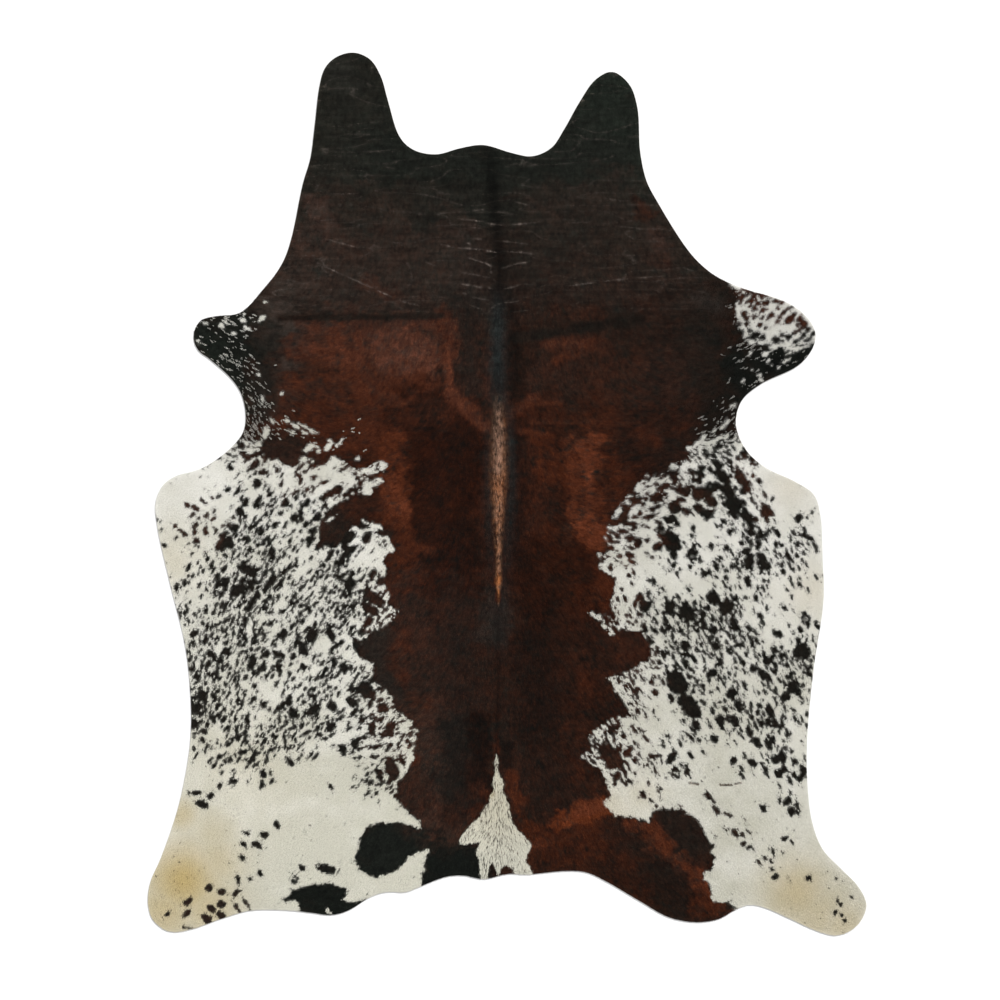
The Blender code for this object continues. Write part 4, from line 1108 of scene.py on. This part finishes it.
def skin_mesh(rim, depth, skin):
    """The hide as a thin closed sheet: relief of the coat above, flat flesh side below."""
    inner = inset(rim, RIM_RISE[1][0] * MM)
    top, top_faces = triangulated([rim, inner], lattice(SKIN_STEP, depth, 7))
    low, low_faces = triangulated([rim], lattice(UNDERSIDE_STEP, depth, 20))
    mesh = bmesh.new()
    borders = []
    for plan, height, faces in ((top, sample(skin, top[:, 0], top[:, 1]), top_faces),
                                (low, np.zeros(len(low)), low_faces)):
        corners = [mesh.verts.new((x, y, z)) for (x, y), z in zip(plan, height)]
        made = [mesh.faces.new([corners[i] for i in face]) for face in faces]
        borders += [edge for face in made for edge in face.edges if edge.is_boundary]
    bmesh.ops.bridge_loops(mesh, edges=list(set(borders)))
    bmesh.ops.recalc_face_normals(mesh, faces=mesh.faces)
    data = bpy.data.meshes.new("hide_sheet")
    mesh.to_mesh(data)
    mesh.free()
    data.shade_smooth()
    data.set_sharp_from_angle(angle=math.radians(50))
    return data


def hair_roots(depth):
    """Evenly strewn roots over the skin, about COAT_HAIRS of them."""
    chance = np.random.default_rng(ROOT_SEED)
    area = (depth > 0).sum() * CELL ** 2
    step = math.sqrt(area / COAT_HAIRS)
    gx, gy = np.meshgrid(*canvas_axes(step))
    gx = gx + chance.uniform(-0.5, 0.5, gx.shape) * step
    gy = gy + chance.uniform(-0.5, 0.5, gy.shape) * step
    kept = sample(depth, gx, gy) > 0.3 * MM
    return gx[kept], gy[kept]


def hairs(depth, top, skin, fields, wedge):
    """Every hair as one slim triangle: its three corners, its tones and where it is coloured."""
    chance = np.random.default_rng(HAIR_SEED)
    x, y = hair_roots(depth)
    count = len(x)
    heading = np.arctan2(sample(FLOW_Y, x, y), sample(FLOW_X, x, y))
    heading += chance.normal(0, HEADING_SPREAD, count)
    in_wedge = smooth_step(0.0, 6 * MM, sample(wedge, x, y))
    natural = sample(spread(HAIR_LENGTHS)[0], x, y)
    length = (natural + (WEDGE_HAIR_LENGTH - natural) * in_wedge) * MM
    length *= 1 - SLIT_CROP * smooth_step(-5 * MM, -2 * MM, sample(slit_depth(), x, y))
    length = length * chance.uniform(*LENGTH_RANGE, count)
    ux = np.cos(heading)
    uy = np.sin(heading)
    for _ in range(3):
        past = sample(depth, x + ux * length, y + uy * length) + OVERHANG * MM
        length = np.where(past < 0, np.maximum(length + past * 1.3, SHORTEST_HAIR * MM), length)
    tip_x = x + ux * length
    tip_y = y + uy * length
    root_z = sample(skin, x, y) - ROOT_SUNK * MM
    tip_z = sample(top, tip_x, tip_y) + chance.normal(*TIP_LIFT, count) * MM
    tip_z = np.maximum(tip_z, LOWEST_TIP * MM)
    roll = chance.normal(0, ROLL_SPREAD, count)
    half = HAIR_WIDTH * MM / 2 * chance.uniform(*WIDTH_RANGE, count)
    side = np.column_stack([-uy * np.cos(roll), ux * np.cos(roll), np.sin(roll)]) * half[:, None]
    root = np.column_stack([x, y, root_z])
    corners = np.stack([root + side, root - side, np.column_stack([tip_x, tip_y, tip_z])], axis=1)
    corners[:, :, 2] = np.maximum(corners[:, :, 2], LOWEST_ROOT * MM)
    look_x = x + ux * length * 0.5 + chance.normal(0, LOOK_SPREAD, count) * MM
    look_y = y + uy * length * 0.5 + chance.normal(0, LOOK_SPREAD, count) * MM
    tones = {name: sample(field, look_x, look_y) for name, field in fields.items()}
    pigment = (tones["pigment"] - chance.uniform(0.25, 0.75, count)) * 8 + 0.5
    tones["pigment"] = smooth_step(0.0, 1.0, pigment)
    tones["shade"] = chance.random(count)
    return corners, tones, np.column_stack([look_x, look_y])


def coat_mesh(name, corners, tones, look):
    """One part of the coat as a mesh of separate triangles."""
    count = len(corners)
    mesh = bpy.data.meshes.new(name)
    mesh.vertices.add(3 * count)
    mesh.loops.add(3 * count)
    mesh.polygons.add(count)
    mesh.vertices.foreach_set("co", corners.reshape(-1).astype(np.float32))
    mesh.loops.foreach_set("vertex_index", np.arange(3 * count, dtype=np.int32))
    mesh.polygons.foreach_set("loop_start", np.arange(0, 3 * count, 3, dtype=np.int32))
    mesh.update(calc_edges=True)
    for tone, values in tones.items():
        add_field(mesh, tone, np.repeat(values, 3))
    # 0 at a hair's root and 1 at its tip, for the painted shade that darkens the root
    add_field(mesh, "tip", np.tile([0.0, 0.0, 1.0], count))
    spot = look[:, None, :] + (corners[:, :, :2] - look[:, None, :]) * 0.2
    spot = spot.reshape(-1, 2)
    low = spot.min(axis=0)
    high = spot.max(axis=0)
    uv = (spot - low) / (high - low).max()
    mesh.uv_layers.new(name="OFBake").data.foreach_set("uv", uv.reshape(-1).astype(np.float32))
    return mesh


# ---------------------------------------------------------------- materials
WHITE_HAIR = (0.84, 0.825, 0.77, 1.0)
CREAM_HAIR = (0.62, 0.605, 0.515, 1.0)
YELLOWED_HAIR = (0.51, 0.40, 0.185, 1.0)
BLACK_HAIR = (0.0066, 0.0083, 0.0063, 1.0)
RUST_HAIR = (0.078, 0.0184, 0.0060, 1.0)
BLOOM_HAIR = (0.041, 0.033, 0.028, 1.0)
TAN_HAIR = (0.36, 0.2, 0.132, 1.0)
ORANGE_HAIR = (0.46, 0.17, 0.06, 1.0)
# painted sheen: the blue-grey that the dark hair reflects along the spine
SLATE_SHEEN_HAIR = (0.0205, 0.029, 0.0292, 1.0)
# painted highlight: the paler crests of the neck wrinkles
CREST_HIGHLIGHT_HAIR = (0.27, 0.218, 0.188, 1.0)
SUEDE_DARK = (0.42, 0.36, 0.29, 1.0)
SUEDE_LIGHT = (0.55, 0.49, 0.41, 1.0)
PAPER_DARK = (0.80, 0.80, 0.80, 1.0)
PAPER_LIGHT = (0.82, 0.82, 0.82, 1.0)
SKY_WHITE = (1.0, 1.0, 1.0, 1.0)


class Shading:
    """Builds a material's nodes, one call for each node."""

    def __init__(self, name):
        self.material = bpy.data.materials.new(name)
        self.material.use_nodes = True
        self.nodes = self.material.node_tree.nodes
        self.links = self.material.node_tree.links
        self.shader = self.nodes["Principled BSDF"]

    def put(self, socket, value):
        """Sets a socket to a value, or links it to another socket."""
        if isinstance(value, bpy.types.NodeSocket):
            self.links.new(value, socket)
        else:
            socket.default_value = value

    def surface(self, colour, roughness, shine):
        self.put(self.shader.inputs["Base Color"], colour)
        self.put(self.shader.inputs["Roughness"], roughness)
        self.put(self.shader.inputs["Specular IOR Level"], shine)

    def field(self, name):
        node = self.nodes.new("ShaderNodeAttribute")
        node.attribute_name = name
        return node.outputs["Fac"]

    def maths(self, operation, a, b=0.0, c=0.0):
        node = self.nodes.new("ShaderNodeMath")
        node.operation = operation
        for socket, value in zip(node.inputs, (a, b, c)):
            self.put(socket, value)
        return node.outputs["Value"]

    def mix(self, share, a, b, blend="MIX"):
        node = self.nodes.new("ShaderNodeMix")
        node.data_type = "RGBA"
        node.blend_type = blend
        self.put(node.inputs["Factor"], share)
        self.put(node.inputs[6], a)
        self.put(node.inputs[7], b)
        return node.outputs[2]

    def noise(self, scale, detail=2.0):
        where = self.nodes.new("ShaderNodeTexCoord")
        node = self.nodes.new("ShaderNodeTexNoise")
        node.inputs["Scale"].default_value = scale
        node.inputs["Detail"].default_value = detail
        self.links.new(where.outputs["Object"], node.inputs["Vector"])
        return node.outputs["Fac"]

    def range(self, value, low, high):
        node = self.nodes.new("ShaderNodeMapRange")
        self.put(node.inputs["Value"], value)
        node.inputs["To Min"].default_value = low
        node.inputs["To Max"].default_value = high
        return node.outputs["Result"]

    def darken(self, colour, value):
        """The colour times a number."""
        grey = self.nodes.new("ShaderNodeCombineColor")
        for name in ("Red", "Green", "Blue"):
            self.put(grey.inputs[name], value)
        return self.mix(1.0, colour, grey.outputs["Color"], "MULTIPLY")

    def bump(self, height, strength, distance):
        node = self.nodes.new("ShaderNodeBump")
        node.inputs["Strength"].default_value = strength
        node.inputs["Distance"].default_value = distance
        self.put(node.inputs["Height"], height)
        self.links.new(node.outputs["Normal"], self.shader.inputs["Normal"])


def coat_colour(shading):
    """The colour of hair at a point of the coat, from its tones."""
    white = WHITE_HAIR
    # the cream is partly the hair's own tone and partly painted shade
    for tone, colour in (("cream_and_shade", CREAM_HAIR), ("stain", YELLOWED_HAIR)):
        white = shading.mix(shading.field(tone), white, colour)
    dark = BLACK_HAIR
    # the blue-grey along the spine is painted sheen, and the paler crests a painted highlight
    for tone, colour in (("rust", RUST_HAIR), ("bloom", BLOOM_HAIR), ("slate_sheen", SLATE_SHEEN_HAIR),
                         ("crest", CREST_HIGHLIGHT_HAIR)):
        dark = shading.mix(shading.field(tone), dark, colour)
    # light sets how bright the dark hair is, partly painted sheen and partly its own tone
    dark = shading.darken(dark, shading.field("light"))
    tan = shading.mix(shading.field("rust"), TAN_HAIR, ORANGE_HAIR)
    dark = shading.mix(shading.field("tan"), dark, tan)
    return shading.mix(shading.field("pigment"), white, dark)


def coat_material():
    """Short lying hair, each one a little lighter or darker than the next, and darker at its root as
    painted shade.
    """
    shading = Shading("coat_hair")
    colour = coat_colour(shading)
    swing = shading.range(shading.field("pigment"), 0.07, 0.65)
    shade = shading.maths("SUBTRACT", shading.field("shade"), 0.5)
    shade = shading.maths("MULTIPLY_ADD", shade, swing, 1.0)
    # painted shade: each hair is darker at its root, where the hairs over it shade it, and a little lighter
    # at its tip
    root = shading.range(shading.field("tip"), 0.86, 1.06)
    colour = shading.darken(colour, shading.maths("MULTIPLY", shade, root))
    grain = shading.noise(420.0, 3.0)
    colour = shading.darken(colour, shading.range(grain, 0.93, 1.07))
    shading.surface(colour, shading.range(grain, 0.5, 0.66), 0.03)
    shading.bump(shading.noise(2600.0), 0.25, 0.0002)
    return shading.material


def skin_material():
    """Tanned skin: pale suede below, tinted by the coat's pigment above and darkened there as painted shade
    under the hair.
    """
    shading = Shading("tanned_skin")
    grain = shading.noise(700.0, 6.0)
    haired = shading.field("haired")
    suede = shading.mix(shading.noise(9.0, 4.0), SUEDE_DARK, SUEDE_LIGHT)
    suede = shading.darken(suede, shading.range(grain, 0.85, 1.1))
    # painted shade: where hair covers it, the skin takes the coat's colour darkened, as shaded by the hair
    # over it
    shaded_below_hair = shading.darken(coat_colour(shading), shading.range(grain, 0.6, 0.8))
    colour = shading.mix(haired, suede, shaded_below_hair)
    shading.surface(colour, shading.range(grain, 0.75, 0.95), shading.range(haired, 0.3, 0.1))
    shading.bump(grain, 0.4, 0.0004)
    return shading.material


# ---------------------------------------------------------------- the rug
def build_coat(corners, tones, look):
    """The hairs as four pieces, each with as many of them: fore and hind, left and right."""
    material = coat_material()
    pieces = []
    fore = look[:, 1] > np.median(look[:, 1])
    for end, half in (("fore", fore), ("hind", ~fore)):
        left = look[:, 0] < np.median(look[half, 0])
        for side, beside in (("left", left), ("right", ~left)):
            kept = half & beside
            name = f"coat_{end}_{side}"
            kept_tones = {tone: values[kept] for tone, values in tones.items()}
            mesh = coat_mesh(name, corners[kept], kept_tones, look[kept])
            mesh.materials.append(material)
            piece = link(mesh, name)
            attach(piece, "root")
            pieces.append(piece)
    return pieces


def build_sheet(rim, depth, skin, fields):
    """The skin below the coat."""
    mesh = skin_mesh(rim, depth, skin)
    points = np.empty(3 * len(mesh.vertices))
    mesh.vertices.foreach_get("co", points)
    x, y, z = points.reshape(-1, 3).T
    for name, field in fields.items():
        add_field(mesh, name, sample(field, x, y))
    add_field(mesh, "haired", (z > 1.0 * MM).astype(float))
    mesh.materials.append(skin_material())
    return link(mesh, "hide_sheet")


def build_rug():
    """The skin sheet and the four parts of its coat."""
    rim = rim_loop()
    depth = depth_inside(rim)
    top, skin, crests = coat_relief(depth)
    pigment, on_skin, wedge = pigment_chart()
    fields = {"pigment": pigment, **tone_fields(crests)}
    pieces = build_coat(*hairs(depth, top, skin, fields, wedge))
    # the skin under the hair gets a share of the painted crest highlight
    below = {**fields, "pigment": on_skin, "crest": SKIN_CREST_HIGHLIGHT * fields["crest"]}
    sheet = build_sheet(rim, depth, skin, below)
    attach(sheet, "root")
    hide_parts("hide")


# ---------------------------------------------------------------- studio
CAMERA_LENS = 85.0
CAMERA_SENSOR = 36.0
PHOTO_SIZE = 1000
PHOTO_CENTRE = (500.0, 500.0)
FLOOR_SIZE = 14.0
FLOOR_DROP = 0.0002
SKY_STRENGTH = 0.66
KEY_STRENGTH = 4.1
KEY_SPREAD = 12.0               # degrees across the lamp, which softens its shadows
KEY_FROM = (0.6, 1.0)           # across and along: from the upper right of the photo
KEY_HEIGHT = 33.0               # degrees over the floor


def add_floor():
    """A pale floor just below the rug."""
    bpy.ops.mesh.primitive_plane_add(size=FLOOR_SIZE, location=(0, 0, -FLOOR_DROP))
    floor = bpy.context.object
    floor.name = "floor"
    shading = Shading("pale_floor")
    shading.surface(shading.mix(shading.noise(3.0), PAPER_DARK, PAPER_LIGHT), 0.9, 0.1)
    floor.data.materials.append(shading.material)


def add_lights():
    """White light from all round, and a soft lamp at the upper right."""
    world = bpy.context.scene.world or bpy.data.worlds.new("studio")
    bpy.context.scene.world = world
    world.use_nodes = True
    sky = world.node_tree.nodes["Background"].inputs
    sky["Color"].default_value = SKY_WHITE
    sky["Strength"].default_value = SKY_STRENGTH
    lamp = bpy.data.lights.new("key", "SUN")
    lamp.energy = KEY_STRENGTH
    lamp.angle = math.radians(KEY_SPREAD)
    aim = Vector((*KEY_FROM, 0.0)).normalized() * math.cos(math.radians(KEY_HEIGHT))
    aim.z = math.sin(math.radians(KEY_HEIGHT))
    key = link(lamp, "key")
    key.rotation_euler = aim.to_track_quat("Z", "Y").to_euler()


def add_camera():
    """The camera straight above, as in the photo."""
    camera = bpy.data.cameras.new("camera")
    camera.lens = CAMERA_LENS
    camera.sensor_width = CAMERA_SENSOR
    camera.clip_end = 100.0
    eye = link(camera, "camera")
    eye.location = (*place(PHOTO_CENTRE), PHOTO_SIZE * PIXEL * CAMERA_LENS / CAMERA_SENSOR)
    bpy.context.scene.camera = eye
    bpy.context.scene.view_settings.view_transform = "Standard"


add_floor()
add_lights()
add_camera()
build_rug()
